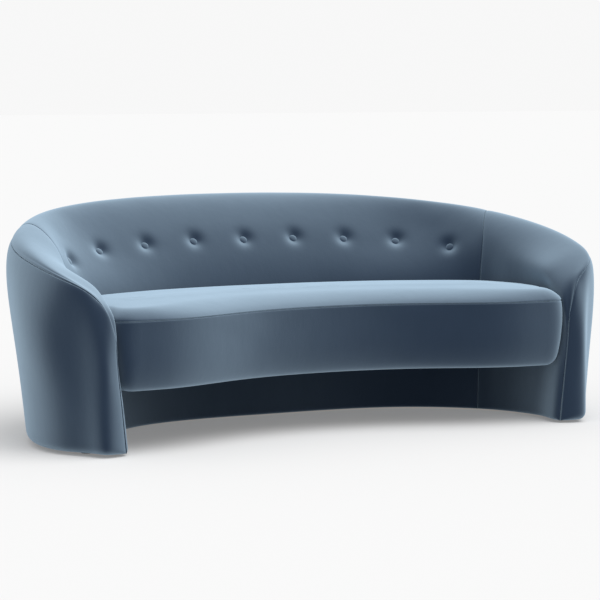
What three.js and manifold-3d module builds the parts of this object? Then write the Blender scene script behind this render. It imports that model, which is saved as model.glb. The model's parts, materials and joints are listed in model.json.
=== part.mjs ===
import * as THREE from "three";
import { mergeVertices } from "three/addons/utils/BufferGeometryUtils.js";
import Module from "manifold-3d";

// A curved sofa: a padded C-shaped shell that runs down to the floor, a floating kidney-shaped
// seat held between its arms, and the plywood frame inside both.
// Millimetres, +Z up, front towards -Y, origin on the floor under the middle of the plan.

const wasm = await Module();
wasm.setup();

// Overall sizes
const overallWidth = 2010;
const overallDepth = 1019;
const backHeight = 735;
const floorGap = 8;

// Padding of the shell
const innerPadding = 38;
const outerPadding = 34;
const innerHemRadius = 12;
const outerHemRadius = 26;

// Covered buttons and the dimples they pull into the back
const buttonDiameter = 30;
const buttonDome = 7;
const buttonRim = 3;
const buttonShankDiameter = 8;
const buttonShankLength = 5;
const dimpleDepth = 20;
const dimpleRadius = 52;
const dimpleEase = 2;

// Seat
const seatTop = 437;
const seatUnderside = 188;
const seatSeamHeight = 400;
const seatSeamCrease = 2.5;
const seatSeamWidth = 5;
const seatCrown = 9;
const seatPadding = 64;
const seatBottomRadius = 34;
const seatTopRoll = 48;
const seatBackRoll = 18;
const seatBelly = 5;
const seatBackGap = 3;
const seatEndGap = 5;
const seatCornerRun = 105;

// Boards, rails and straps
const boardThickness = 18;
const ribThickness = 18;
const ledgerThickness = 20;
const ledgerHeight = 140;
const ledgerDrop = 36;
const topRailThickness = 16;
const seatRailThickness = 22;
const seatRailHeight = 100;
const crossRailWidth = 34;
const crossRailHeight = 70;
const webbingWidth = 50;
const webbingThickness = 2;
const dustCoverThickness = 1.5;
const frameTipRun = 115;

// Seat mounting blocks and their bolts
const blockWidth = 64;
const blockHeight = 52;
const boltDiameter = 8;
const boltHeadDiameter = 18;
const boltHeadHeight = 6;

// Glides
const glideDiameter = 44;
const glideFootDiameter = 38;

// Clearances
const fitGap = 0.3;
const frameGap = 1.3;
const notchGap = 1.2;
const frameClearance = 0.6;
const cutOverrun = 5;
const mergeTolerance = 0.00013;

// How finely the curves are cut
const searchSteps = 40;
const buttonLineSteps = 241;
const cavityRowSteps = 17;
const cavityColumnSteps = 61;
const armBoardSteps = 15;
const backBoardSteps = 31;
const seatArmSteps = 8;
const seatBackSteps = 15;
const seatFrontSteps = 13;
const seatCornerSteps = 4;
const seatBottomSteps = 5;
const seatRollSteps = 4;
const strapCount = 5;
const roundSides = 12;
const glideSides = 14;

// Guide lines of the shell from the front edge of an arm to the middle of the back, as
// shares of half the width, of the depth from the front and of the height of the back.
const guideShares = {
  floorInside: [
    [0.764, 0.034, 0],
    [0.755, 0.046, 0],
    [0.752, 0.066, 0],
    [0.761, 0.125, 0],
    [0.759, 0.18, 0],
    [0.744, 0.245, 0],
    [0.714, 0.322, 0],
    [0.67, 0.386, 0],
    [0.553, 0.49, 0],
    [0.359, 0.568, 0],
    [0, 0.589, 0],
  ],
  seatLevel: [
    [0.792, 0.035, 0.394],
    [0.79, 0.054, 0.456],
    [0.791, 0.078, 0.49],
    [0.808, 0.14, 0.544],
    [0.811, 0.202, 0.585],
    [0.808, 0.28, 0.594],
    [0.787, 0.386, 0.594],
    [0.745, 0.494, 0.594],
    [0.608, 0.588, 0.594],
    [0.389, 0.665, 0.594],
    [0, 0.7, 0.594],
  ],
  shoulder: [
    [0.796, 0.036, 0.456],
    [0.794, 0.05, 0.528],
    [0.793, 0.067, 0.572],
    [0.795, 0.13, 0.632],
    [0.802, 0.188, 0.674],
    [0.813, 0.278, 0.7],
    [0.805, 0.407, 0.742],
    [0.778, 0.53, 0.804],
    [0.669, 0.693, 0.82],
    [0.43, 0.777, 0.82],
    [0, 0.798, 0.82],
  ],
  crest: [
    [0.798, 0.035, 0.475],
    [0.813, 0.046, 0.556],
    [0.826, 0.062, 0.615],
    [0.864, 0.091, 0.678],
    [0.916, 0.147, 0.738],
    [0.946, 0.232, 0.785],
    [0.926, 0.416, 0.85],
    [0.844, 0.61, 0.908],
    [0.697, 0.79, 0.949],
    [0.463, 0.907, 0.978],
    [0, 0.957, 0.994],
  ],
  rimSeam: [
    [0.799, 0.033, 0.49],
    [0.818, 0.037, 0.578],
    [0.843, 0.051, 0.632],
    [0.886, 0.068, 0.682],
    [0.937, 0.118, 0.722],
    [0.969, 0.225, 0.76],
    [0.96, 0.445, 0.814],
    [0.88, 0.634, 0.859],
    [0.735, 0.81, 0.875],
    [0.476, 0.938, 0.905],
    [0, 0.99, 0.93],
  ],
  bulge: [
    [0.795, 0.032, 0.394],
    [0.82, 0.021, 0.408],
    [0.847, 0.02, 0.408],
    [0.896, 0.073, 0.49],
    [0.964, 0.136, 0.544],
    [0.998, 0.241, 0.571],
    [0.963, 0.464, 0.626],
    [0.878, 0.698, 0.68],
    [0.73, 0.846, 0.721],
    [0.472, 0.962, 0.762],
    [0, 1, 0.776],
  ],
  floorOutside: [
    [0.767, 0.031, 0],
    [0.79, 0.018, 0],
    [0.834, 0.004, 0],
    [0.877, 0.059, 0],
    [0.927, 0.13, 0],
    [0.956, 0.231, 0],
    [0.928, 0.422, 0],
    [0.827, 0.619, 0],
    [0.688, 0.75, 0],
    [0.445, 0.854, 0],
    [0, 0.89, 0],
  ],
};
// The station of the guide tables at which the arm panels are joined to the back panels
const panelJoinStation = 7;

// Front line of the seat from the middle to the corner, as shares of half the width and of
// the depth from the front
const seatFrontShares = [
  [0, 0.192],
  [0.15, 0.182],
  [0.3, 0.149],
  [0.4, 0.112],
  [0.5, 0.073],
  [0.6, 0.046],
  [0.715, 0.037],
];
const seatFrontReachShare = 0.7114;
const seatFrontReach = (seatFrontReachShare * overallWidth) / 2;

// Reaches inside the seat as shares of its front's half length, and rings of its crown
const crownReachShare = 0.86;
const partingShare = 0.8;
const crossRailShare = 0.48;
const strapShare = 0.84;
const crownShares = [0.35, 0.7, 0.93];

// Heights of the buttons from the middle outwards, as shares of the height of the back
const buttonHeightShares = [0.786, 0.786, 0.777, 0.763, 0.736];
const buttonSpacingShare = 0.2134;

// Rows across the shell: 0 inner floor line, 1 half way up to the seat, 2 seat level,
// 3 shoulder, 4 crest, 5 rim seam, 6 bulge, 7 half way down, 8 outer floor line.
const seatLevelRow = 2;
const shoulderRow = 3;
const crestRow = 4;
const rimSeamRow = 5;
const bulgeRow = 6;
const lastRow = 8;
const halfShare = 0.5;
const probeShare = 0.0015;
const ledgerSkip = 4;
const notchShare = 0.02;
const pitchShare = 0.1;
const hemRowShares = [0, 0.015, 0.06, 0.14];
const outerRowShares = [0.1, 0.217, 0.333, 0.533, 0.767];
const seamGapShare = 0.005;
const spineReachShare = 0.8;
const tipHemShare = 0.55;

const velvetFacing = { color: 0x46586c, roughness: 0.85, metalness: 0 };
const velvetDeep = { color: 0x3c4d60, roughness: 0.85, metalness: 0 };
const plywood = { color: 0xc7a577, roughness: 0.7, metalness: 0 };
const beech = { color: 0xb98d5c, roughness: 0.65, metalness: 0 };
const webbingJute = { color: 0x8a7a62, roughness: 0.9, metalness: 0 };
const cambric = { color: 0x1c1c1e, roughness: 0.95, metalness: 0 };
const zincSteel = { color: 0xb4b8bb, roughness: 0.4, metalness: 0.9 };
const glidePlastic = { color: 0x1a1a1b, roughness: 0.6, metalness: 0 };

const sofa = new THREE.Group();
const shellGroup = new THREE.Group();
const seatGroup = new THREE.Group();
const frameGroup = new THREE.Group();
sofa.add(shellGroup, seatGroup, frameGroup);

const up = new THREE.Vector3(0, 0, 1);

// Splines

function naturalSpline(knots, values) {
  const last = knots.length - 1;
  const bend = new Array(last + 1).fill(0);
  const carry = new Array(last + 1).fill(0);
  for (let i = 1; i < last; i++) {
    const before = knots[i] - knots[i - 1];
    const after = knots[i + 1] - knots[i];
    const turn = (values[i + 1] - values[i]) / after - (values[i] - values[i - 1]) / before;
    const pivot = 2 * (before + after) - before * carry[i - 1];
    carry[i] = after / pivot;
    bend[i] = (6 * turn - before * bend[i - 1]) / pivot;
  }
  for (let i = last - 1; i > 0; i--) bend[i] -= carry[i] * bend[i + 1];
  return (at) => {
    let i = 0;
    while (i < last - 1 && at > knots[i + 1]) i++;
    const span = knots[i + 1] - knots[i];
    const b = (at - knots[i]) / span;
    const a = 1 - b;
    const pull = ((a ** 3 - a) * bend[i] + (b ** 3 - b) * bend[i + 1]) * (span ** 2 / 6);
    return a * values[i] + b * values[i + 1] + pull;
  };
}

function splineThrough(points, knots) {
  const [x, y, z] = ["x", "y", "z"].map((axis) =>
    naturalSpline(knots, points.map((p) => p[axis])),
  );
  return (at) => new THREE.Vector3(x(at), y(at), z(at));
}

function runningTotal(steps) {
  const total = [0];
  for (const step of steps) total.push(total[total.length - 1] + step);
  return total;
}

const mix = THREE.MathUtils.lerp;
const smooth = THREE.MathUtils.smoothstep;

function evenly(from, to, count) {
  return Array.from({ length: count }, (_, i) => mix(from, to, i / (count - 1)));
}

// The shell's surface: shellPoint(along, row), with along from 0 at the front edge of the
// left arm to 1 at the front edge of the right arm

function guidePoints(shares) {
  const left = shares.map(
    ([x, y, z]) =>
      new THREE.Vector3(
        (-x * overallWidth) / 2,
        (y - 0.5) * overallDepth,
        Math.max(floorGap, z * backHeight),
      ),
  );
  const right = left.slice(0, -1).map((p) => new THREE.Vector3(-p.x, p.y, p.z));
  return [...left, ...right.reverse()];
}

const guideTables = Object.values(guideShares).map(guidePoints);
const spacingTables = [guideTables[0], guideTables[3], guideTables[6]];
const stationRun = runningTotal(
  guideTables[0].slice(1).map((_, i) => {
    const steps = spacingTables.map((table) => table[i].distanceTo(table[i + 1]));
    return (steps[0] + steps[1] + steps[2]) / steps.length;
  }),
);
const shellRun = stationRun[stationRun.length - 1];
const stationKnots = stationRun.map((run) => run / shellRun);
const guides = guideTables.map((table) => splineThrough(table, stationKnots));
const alongOf = (length) => length / shellRun;

const sections = new Map();
function sectionAt(along) {
  if (!sections.has(along)) {
    const g = guides.map((guide) => guide(along));
    const innerMiddle = g[0].clone().lerp(g[1], 0.5);
    const outerMiddle = g[5].clone().lerp(g[6], 0.5);
    const controls = [g[0], innerMiddle, ...g.slice(1, 6), outerMiddle, g[6]];
    const steps = controls.slice(1).map((p, i) => Math.sqrt(p.distanceTo(controls[i])));
    const knots = runningTotal(steps);
    sections.set(along, { knots, curve: splineThrough(controls, knots) });
  }
  return sections.get(along);
}

function shellPoint(along, row) {
  const { knots, curve } = sectionAt(along);
  const i = Math.min(Math.floor(row), lastRow - 1);
  return curve(mix(knots[i], knots[i + 1], row - i));
}

function shellNormal(along, row) {
  const alongLow = Math.max(0, along - probeShare);
  const alongHigh = Math.min(1, along + probeShare);
  const rowLow = Math.max(0, row - probeShare);
  const rowHigh = Math.min(lastRow, row + probeShare);
  const alongStep = shellPoint(alongHigh, row).sub(shellPoint(alongLow, row));
  const rowStep = shellPoint(along, rowHigh).sub(shellPoint(along, rowLow));
  return alongStep.cross(rowStep).normalize();
}

function levelNormal(along, row) {
  const normal = shellNormal(along, row);
  normal.z = 0;
  return normal.normalize();
}

// The middle line of the section: half way to the opposite face up to the shoulder, and one
// point for the rows that roll over the top
function spinePoint(along, row) {
  const inner = row < crestRow ? Math.min(row, shoulderRow) : outerPartner(Math.max(row, bulgeRow));
  return shellPoint(along, inner).lerp(shellPoint(along, innerPartner(inner)), 0.5);
}
// Rows 0, 1 and 3 of the inner face lie opposite rows 8, 7 and 6 of the outer face
const innerPartner = (row) => (row < 1 ? lastRow - row : lastRow - 1 - (row - 1) / 2);
const outerPartner = (row) => (row > lastRow - 1 ? lastRow - row : 1 + 2 * (lastRow - 1 - row));

function padDepth(along, row) {
  return mix(innerPadding, outerPadding, smooth(row, crestRow, bulgeRow));
}

// A point of the padding's face, rolled under at the floor
function facePoint(along, row) {
  const point = shellPoint(along, row);
  const fullRadius = row < crestRow ? innerHemRadius : outerHemRadius;
  const reach = spinePoint(along, row).distanceTo(point);
  const radius = Math.min(fullRadius, tipHemShare * reach);
  const rise = point.z - floorGap;
  if (rise < radius) {
    const tuck = radius - Math.sqrt(radius ** 2 - (radius - rise) ** 2);
    point.addScaledVector(levelNormal(along, row), -tuck);
  }
  return point;
}

// A point of the shell at a depth below the padding's face, on the way to the middle line
function deepPoint(along, row, depth, beyond = 0) {
  const face = shellPoint(along, row);
  const inward = spinePoint(along, row).sub(face);
  const reach = Math.max(inward.length(), fitGap);
  const sunk = Math.min(depth, spineReachShare * reach) + beyond;
  const point = face.addScaledVector(inward, sunk / reach);
  point.z = Math.max(point.z, floorGap);
  return point;
}

const backingPoint = (along, row) => deepPoint(along, row, padDepth(along, row));

// The row at which the inner face reaches a height
function innerRowAt(along, height) {
  let low = 0;
  let high = crestRow;
  for (let i = 0; i < searchSteps; i++) {
    const middle = (low + high) / 2;
    if (shellPoint(along, middle).z < height) low = middle;
    else high = middle;
  }
  return low;
}

// Solids

function toSolid(geometry) {
  const bare = geometry.clone();
  bare.deleteAttribute("normal");
  bare.deleteAttribute("uv");
  const merged = mergeVertices(bare, mergeTolerance);
  const vertProperties = merged.attributes.position.array;
  const build = (triVerts) =>
    new wasm.Manifold(new wasm.Mesh({ numProp: 3, vertProperties, triVerts }));
  const triVerts = new Uint32Array(merged.index.array);
  const solid = build(triVerts);
  return solid.volume() < 0 ? build(triVerts.reverse()) : solid;
}

function toGeometry(solid) {
  const mesh = solid.getMesh();
  const geometry = new THREE.BufferGeometry();
  geometry.setAttribute("position", new THREE.BufferAttribute(mesh.vertProperties, 3));
  geometry.setIndex(new THREE.BufferAttribute(mesh.triVerts, 1));
  const faceted = geometry.toNonIndexed();
  faceted.computeVertexNormals();
  return faceted;
}

function addPiece(group, name, solid, finish) {
  const mesh = new THREE.Mesh(toGeometry(solid), new THREE.MeshStandardMaterial(finish));
  mesh.name = name;
  group.add(mesh);
  return mesh;
}

function addPlaced(group, name, geometry, finish, position, rotation) {
  const mesh = new THREE.Mesh(geometry, new THREE.MeshStandardMaterial(finish));
  mesh.name = name;
  mesh.position.copy(position);
  if (rotation) mesh.quaternion.copy(rotation);
  group.add(mesh);
  return mesh;
}

function indexedGeometry(points, index) {
  const geometry = new THREE.BufferGeometry().setFromPoints(points);
  geometry.setIndex(index);
  return geometry;
}

// A closed sheet between a face and a backing, each a grid of [along][row] points
function sheetSolid(alongs, rowsOf, faceOf, backingOf) {
  const face = alongs.map((along) => rowsOf(along).map((row) => faceOf(along, row)));
  const backing = alongs.map((along) => rowsOf(along).map((row) => backingOf(along, row)));
  const columns = alongs.length;
  const rows = face[0].length;
  const at = (i, j, side) => side * columns * rows + i * rows + j;
  const index = [];
  const quad = (a, b, c, d) => index.push(a, b, c, a, c, d);
  for (let i = 0; i + 1 < columns; i++) {
    for (let j = 0; j + 1 < rows; j++) {
      quad(at(i, j, 0), at(i + 1, j, 0), at(i + 1, j + 1, 0), at(i, j + 1, 0));
      quad(at(i, j, 1), at(i, j + 1, 1), at(i + 1, j + 1, 1), at(i + 1, j, 1));
    }
    quad(at(i, 0, 0), at(i, 0, 1), at(i + 1, 0, 1), at(i + 1, 0, 0));
    quad(at(i, rows - 1, 0), at(i + 1, rows - 1, 0), at(i + 1, rows - 1, 1), at(i, rows - 1, 1));
  }
  for (let j = 0; j + 1 < rows; j++) {
    quad(at(0, j, 0), at(0, j + 1, 0), at(0, j + 1, 1), at(0, j, 1));
    const e = columns - 1;
    quad(at(e, j, 0), at(e, j, 1), at(e, j + 1, 1), at(e, j + 1, 0));
  }
  return toSolid(indexedGeometry([...face.flat(), ...backing.flat()], index));
}

// A closed body through a row of closed loops, its ends closed on their middles
function loftSolid(loops) {
  const count = loops[0].length;
  const middleOf = (loop) =>
    loop.reduce((sum, p) => sum.add(p), new THREE.Vector3()).divideScalar(count);
  const points = [...loops.flat(), middleOf(loops[0]), middleOf(loops[loops.length - 1])];
  const firstMiddle = loops.length * count;
  const lastLoop = (loops.length - 1) * count;
  const index = [];
  for (let j = 0; j < count; j++) {
    const k = (j + 1) % count;
    for (let i = 0; i + 1 < loops.length; i++) {
      const a = i * count;
      const b = a + count;
      index.push(a + j, b + j, b + k, a + j, b + k, a + k);
    }
    index.push(firstMiddle, j, k, firstMiddle + 1, lastLoop + k, lastLoop + j);
  }
  return toSolid(indexedGeometry(points, index));
}

function prismSolid(outline, low, high) {
  const shape = new THREE.Shape(outline);
  const geometry = new THREE.ExtrudeGeometry(shape, { depth: high - low, bevelEnabled: false });
  return toSolid(geometry.translate(0, 0, low));
}

function boxSolid(size, placed) {
  return toSolid(new THREE.BoxGeometry(size.x, size.y, size.z).applyMatrix4(placed));
}

// The largest of a solid's bodies, without the slivers that a cut leaves
function mainBody(solid) {
  const bodies = solid.decompose();
  return bodies.reduce((best, body) => (body.volume() > best.volume() ? body : best));
}

// Joins between the shell's panels

const leftJoin = stationKnots[panelJoinStation];
const rightJoin = 1 - leftJoin;
const joinGap = alongOf(fitGap);

// Buttons along the shoulder, spaced by the length of the row they lie in

const rowSample = evenly(leftJoin, rightJoin, buttonLineSteps);
const middleHeight = buttonHeightShares[0] * backHeight;
const rowPoints = rowSample.map((along) => shellPoint(along, innerRowAt(along, middleHeight)));
const rowRun = runningTotal(rowPoints.slice(1).map((p, i) => p.distanceTo(rowPoints[i])));
const rowMiddle = rowRun[rowRun.length - 1] / 2;
const buttonSpacing = buttonSpacingShare * rowMiddle;

function alongAtRun(run) {
  let i = 0;
  while (i < rowRun.length - 2 && rowRun[i + 1] < run) i++;
  const share = (run - rowRun[i]) / (rowRun[i + 1] - rowRun[i]);
  return mix(rowSample[i], rowSample[i + 1], share);
}

const sideButtons = buttonHeightShares.length - 1;
const buttons = [];
for (let k = -sideButtons; k <= sideButtons; k++) {
  const run = rowMiddle + k * buttonSpacing;
  const along = alongAtRun(run);
  const height = buttonHeightShares[Math.abs(k)] * backHeight;
  const row = innerRowAt(along, height);
  buttons.push({
    run,
    along,
    row,
    surface: shellPoint(along, row),
    normal: shellNormal(along, row),
  });
}

// How deep the back is pulled in at a point by the nearest button
const dimpleFloorRadius = Math.SQRT2 * (buttonDiameter / 2 + dimpleEase);
const dimpleStep = buttonDiameter / 2 + dimpleEase;
function dimpleAt(point) {
  const nearest = Math.min(...buttons.map((b) => b.surface.distanceTo(point)));
  const share = 1 - smooth(nearest, dimpleFloorRadius, dimpleRadius);
  return dimpleDepth * share;
}

function dimpledFace(along, row) {
  const point = facePoint(along, row);
  const depth = dimpleAt(point);
  return depth > 0 ? point.addScaledVector(shellNormal(along, row), -depth) : point;
}

// Inner pads

const seamInner = rimSeamRow - seamGapShare;
const seamOuter = rimSeamRow + seamGapShare;
const buttonRows = naturalSpline(
  buttons.map((b) => b.along),
  buttons.map((b) => b.row),
);
const buttonRowAt = (along) => {
  const first = buttons[0];
  const end = buttons[buttons.length - 1];
  return buttonRows(THREE.MathUtils.clamp(along, first.along, end.along));
};
// Rows per millimetre near the buttons of the middle of the back
const middleButton = buttons[sideButtons];
const rowPitch =
  pitchShare /
  shellPoint(middleButton.along, middleButton.row + pitchShare).distanceTo(
    shellPoint(middleButton.along, middleButton.row),
  );
const dimpleSteps = [-dimpleRadius, -dimpleStep, dimpleStep, dimpleRadius];

function backRows(along) {
  const middle = buttonRowAt(along);
  const around = dimpleSteps.map((step) => middle + step * rowPitch);
  return [...hemRowShares, 1, seatLevelRow, ...around, crestRow, crestRow + halfShare, seamInner];
}

const backAlongs = [leftJoin + joinGap, rightJoin - joinGap];
for (const button of buttons)
  for (const step of dimpleSteps) {
    const along = alongAtRun(button.run + step);
    if (along > leftJoin + 2 * joinGap && along < rightJoin - 2 * joinGap) backAlongs.push(along);
  }
backAlongs.sort((a, b) => a - b);

const armTipShares = [0, 0.035, 0.09, 0.16, 0.24, 0.32, 0.41, 0.5, 0.59, 0.68, 0.77, 0.86, 0.93, 1];
const leftArmAlongs = armTipShares.map((share) => share * (leftJoin - joinGap));
const rightArmAlongs = leftArmAlongs.map((along) => 1 - along).reverse();

// A panel's body and the space it needs, which reaches a little over its face and behind its
// backing
const pastEnds = (alongs) => [
  Math.max(0, alongs[0] - joinGap),
  ...alongs.slice(1, -1),
  Math.min(1, alongs[alongs.length - 1] + joinGap),
];
const panelSpace = (alongs, rowsOf) =>
  sheetSolid(
    pastEnds(alongs),
    rowsOf,
    (along, row) => deepPoint(along, row, -cutOverrun),
    (along, row) => deepPoint(along, row, padDepth(along, row), frameClearance),
  );

let innerBack = sheetSolid(backAlongs, backRows, dimpledFace, backingPoint);
let innerLeft = sheetSolid(leftArmAlongs, backRows, facePoint, backingPoint);
let innerRight = sheetSolid(rightArmAlongs, backRows, facePoint, backingPoint);
const innerSpaces = [backAlongs, leftArmAlongs, rightArmAlongs].map((alongs) =>
  panelSpace(alongs, backRows),
);

// Outer panels

const outerRows = () => [
  seamOuter,
  ...outerRowShares.map((share) => mix(rimSeamRow, lastRow, share)),
  ...hemRowShares.map((share) => lastRow - share).reverse(),
];
const outerBack = sheetSolid(backAlongs, outerRows, facePoint, backingPoint);
const outerLeft = sheetSolid(leftArmAlongs, outerRows, facePoint, backingPoint);
const outerRight = sheetSolid(rightArmAlongs, outerRows, facePoint, backingPoint);
const outerSpaces = [backAlongs, leftArmAlongs, rightArmAlongs].map((alongs) =>
  panelSpace(alongs, outerRows),
);
const clearOf = (solid, spaces) =>
  mainBody(spaces.reduce((rest, space) => rest.subtract(space), solid));
const clearOfPadding = (solid) => clearOf(solid, [...innerSpaces, ...outerSpaces]);

// The space inside the padding, from one place along the shell to another

const cavityRows = evenly(0, lastRow, cavityRowSteps);
function cavitySolid(from, to, count, extra) {
  const loops = evenly(from, to, count).map((along) =>
    cavityRows.map((row) => deepPoint(along, row, padDepth(along, row) + extra)),
  );
  return loftSolid(loops);
}

// Seat outline at a height, clockwise from above: the side and back line that follows the
// shell's inner face, the right corner, the front line and the left corner

const seatSideStart = alongOf(seatCornerRun);
const seatBackAlongs = [
  ...evenly(seatSideStart, leftJoin, seatArmSteps).slice(0, -1),
  ...evenly(leftJoin, rightJoin, seatBackSteps),
  ...evenly(rightJoin, 1 - seatSideStart, seatArmSteps).slice(1),
];
const backCount = seatBackAlongs.length;
const frontPoints = seatFrontShares.map(
  ([x, y]) => new THREE.Vector2((x * overallWidth) / 2, (y - 0.5) * overallDepth),
);
const frontTable = [
  ...frontPoints.slice(1).map((p) => new THREE.Vector2(-p.x, p.y)).reverse(),
  ...frontPoints,
];
const seatFrontAt = naturalSpline(
  frontTable.map((p) => p.x),
  frontTable.map((p) => p.y),
);
// How much of the front's inset the side line takes on as it nears a corner
const cornerBlendShares = [1, 0.7, 0.35];
const cornerFullnessShare = 0.85;

function sideLine(height) {
  return seatBackAlongs.map((along) => {
    const row = innerRowAt(along, height);
    const edge = Math.min(along, 1 - along);
    const gap = mix(seatEndGap, seatBackGap, smooth(edge, seatSideStart, leftJoin));
    const point = shellPoint(along, row).addScaledVector(levelNormal(along, row), gap);
    return new THREE.Vector2(point.x, point.y);
  });
}

const frontLine = evenly(seatFrontReach, -seatFrontReach, seatFrontSteps).map(
  (x) => new THREE.Vector2(x, seatFrontAt(x)),
);

// A line walked clockwise, moved inwards by an inset at each of its points
function drawnIn(line, insetOf) {
  return line.map((p, i) => {
    const before = line[Math.max(0, i - 1)];
    const after = line[Math.min(line.length - 1, i + 1)];
    const run = after.clone().sub(before).normalize();
    return new THREE.Vector2(p.x + run.y * insetOf(i), p.y - run.x * insetOf(i));
  });
}

// A rounded corner between two lines; the pivot is the corner's outer point
function cornerArc(from, to, pivot) {
  return evenly(0, Math.PI / 2, seatCornerSteps + 2)
    .slice(1, -1)
    .map((angle) => {
      const point = pivot.clone();
      point.addScaledVector(from.clone().sub(pivot), 1 - Math.sin(angle) ** cornerFullnessShare);
      return point.addScaledVector(
        to.clone().sub(pivot),
        1 - Math.cos(angle) ** cornerFullnessShare,
      );
    });
}

function seatRing(height, sideInset, frontInset) {
  const side = drawnIn(sideLine(height), (i) => {
    const blend = cornerBlendShares[Math.min(i, backCount - 1 - i)] ?? 0;
    return mix(sideInset, frontInset, blend);
  });
  const front = drawnIn(frontLine, () => frontInset);
  const rightPivot = new THREE.Vector2(side[backCount - 1].x, front[0].y);
  const leftPivot = new THREE.Vector2(side[0].x, front[seatFrontSteps - 1].y);
  const ring = [
    ...side,
    ...cornerArc(side[backCount - 1], front[0], rightPivot),
    ...front,
    ...cornerArc(front[seatFrontSteps - 1], side[0], leftPivot),
  ];
  return ring.map((p) => new THREE.Vector3(p.x, p.y, height));
}

// The seat cushion, ring by ring from its underside to its crown

function backLineAt(outline, x) {
  for (let i = 0; i + 1 < backCount; i++) {
    const a = outline[i];
    const b = outline[i + 1];
    if (a.x <= x && x <= b.x && b.x > a.x) return mix(a.y, b.y, (x - a.x) / (b.x - a.x));
  }
  return outline[0].y;
}

const spineReach = seatFrontReach * crownReachShare;
function towardsSpine(ring, share, height) {
  return ring.map((p) => {
    const x = THREE.MathUtils.clamp(p.x, -spineReach, spineReach);
    const y = (seatFrontAt(x) + backLineAt(ring, x)) / 2;
    return new THREE.Vector3(mix(p.x, x, share), mix(p.y, y, share), height);
  });
}

function cushionRings() {
  const rings = [];
  for (const angle of evenly(0, Math.PI / 2, seatBottomSteps)) {
    const height = seatUnderside + seatBottomRadius * (1 - Math.cos(angle));
    const inset = seatBottomRadius * (1 - Math.sin(angle));
    rings.push(seatRing(height, inset, inset));
  }
  const sideMiddle = (seatUnderside + seatBottomRadius + seatSeamHeight) / 2;
  rings.push(seatRing(sideMiddle, 0, -seatBelly));
  rings.push(seatRing(seatSeamHeight - seatSeamWidth, 0, 0));
  rings.push(seatRing(seatSeamHeight, 0, seatSeamCrease));
  const rollRise = seatTop - seatSeamHeight - seatSeamWidth;
  for (const angle of evenly(0, Math.PI / 2, seatRollSteps)) {
    const height = seatSeamHeight + seatSeamWidth + rollRise * Math.sin(angle);
    const rolled = 1 - Math.cos(angle);
    rings.push(seatRing(height, seatBackRoll * rolled, seatTopRoll * rolled));
  }
  const edge = rings[rings.length - 1];
  for (const share of crownShares)
    rings.push(towardsSpine(edge, share, seatTop + seatCrown * (1 - (1 - share) ** 2)));
  return rings;
}

function capTriangles(ring, first, facing) {
  const flat = ring.map((p) => new THREE.Vector2(p.x, p.y));
  const faces = THREE.ShapeUtils.triangulateShape(flat, []);
  return faces.flatMap(([a, b, c]) => {
    const area = THREE.ShapeUtils.area([flat[a], flat[b], flat[c]]);
    return area * facing > 0 ? [first + a, first + b, first + c] : [first + c, first + b, first + a];
  });
}

function ringedSolid(rings) {
  const count = rings[0].length;
  const index = [];
  for (let k = 0; k + 1 < rings.length; k++)
    for (let i = 0; i < count; i++) {
      const j = (i + 1) % count;
      const a = k * count;
      const b = a + count;
      index.push(a + i, b + i, b + j, a + i, b + j, a + j);
    }
  const last = rings.length - 1;
  index.push(...capTriangles(rings[0], 0, -1));
  index.push(...capTriangles(rings[last], last * count, 1));
  return toSolid(indexedGeometry(rings.flat(), index));
}

// The space inside the cushion, between the line of its sides and back and its front line,
// each drawn in by the same inset; the two lines meet in square corners

const railLow = seatUnderside + dustCoverThickness + 2 * fitGap;
const railHigh = railLow + seatRailHeight;
const strapLow = railHigh + fitGap;
const seatCoreTop = strapLow + webbingThickness + fitGap;
const coreSideLine = sideLine(seatUnderside);
const farOut = overallWidth;

function withinSides(inset, low, high) {
  const line = drawnIn(coreSideLine, () => inset);
  const first = line[0];
  const last = line[line.length - 1];
  const rightFoot = new THREE.Vector2(last.x, -farOut);
  const leftFoot = new THREE.Vector2(first.x, -farOut);
  return prismSolid([leftFoot, ...line, rightFoot], low, high);
}

function behindFront(inset, low, high) {
  const edge = drawnIn(frontLine, () => inset);
  const right = edge[0];
  const left = edge[edge.length - 1];
  return prismSolid(
    [
      new THREE.Vector2(farOut, farOut),
      new THREE.Vector2(farOut, right.y),
      ...edge,
      new THREE.Vector2(-farOut, left.y),
      new THREE.Vector2(-farOut, farOut),
    ],
    low,
    high,
  );
}

const coreSolid = (inset, low, high) =>
  withinSides(inset, low, high).intersect(behindFront(inset, low, high));

const seatCavity = coreSolid(seatPadding, seatUnderside - cutOverrun, seatCoreTop);
const padFaces = [backAlongs, leftArmAlongs, rightArmAlongs].map((alongs) =>
  sheetSolid(alongs, backRows, (along, row) => deepPoint(along, row, -fitGap), backingPoint),
);
let cushion = clearOf(ringedSolid(cushionRings()).subtract(seatCavity), padFaces);

// Seat frame: four rails round the cavity, three cross rails, webbing over them

const railFace = seatPadding + fitGap;
const railBack = railFace + seatRailThickness;

const sideRing = withinSides(railFace, railLow, railHigh)
  .subtract(withinSides(railBack, railLow, railHigh))
  .intersect(behindFront(railFace, railLow, railHigh));
const frontRail = behindFront(railFace, railLow, railHigh)
  .subtract(behindFront(railBack, railLow, railHigh))
  .intersect(withinSides(railBack + fitGap, railLow, railHigh));

// The rail round the sides and back is three pieces, parted by two straight cuts
const partingReach = seatFrontReach * partingShare;
function besideParting(from, to) {
  const size = new THREE.Vector3(to - from, 2 * overallDepth, backHeight);
  const placed = new THREE.Matrix4().setPosition((from + to) / 2, 0, railLow);
  return sideRing.intersect(boxSolid(size, placed));
}
const rearRail = besideParting(-partingReach + fitGap, partingReach - fitGap);
const rightEndRail = besideParting(partingReach, farOut);
const leftEndRail = besideParting(-farOut, -partingReach);

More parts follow.
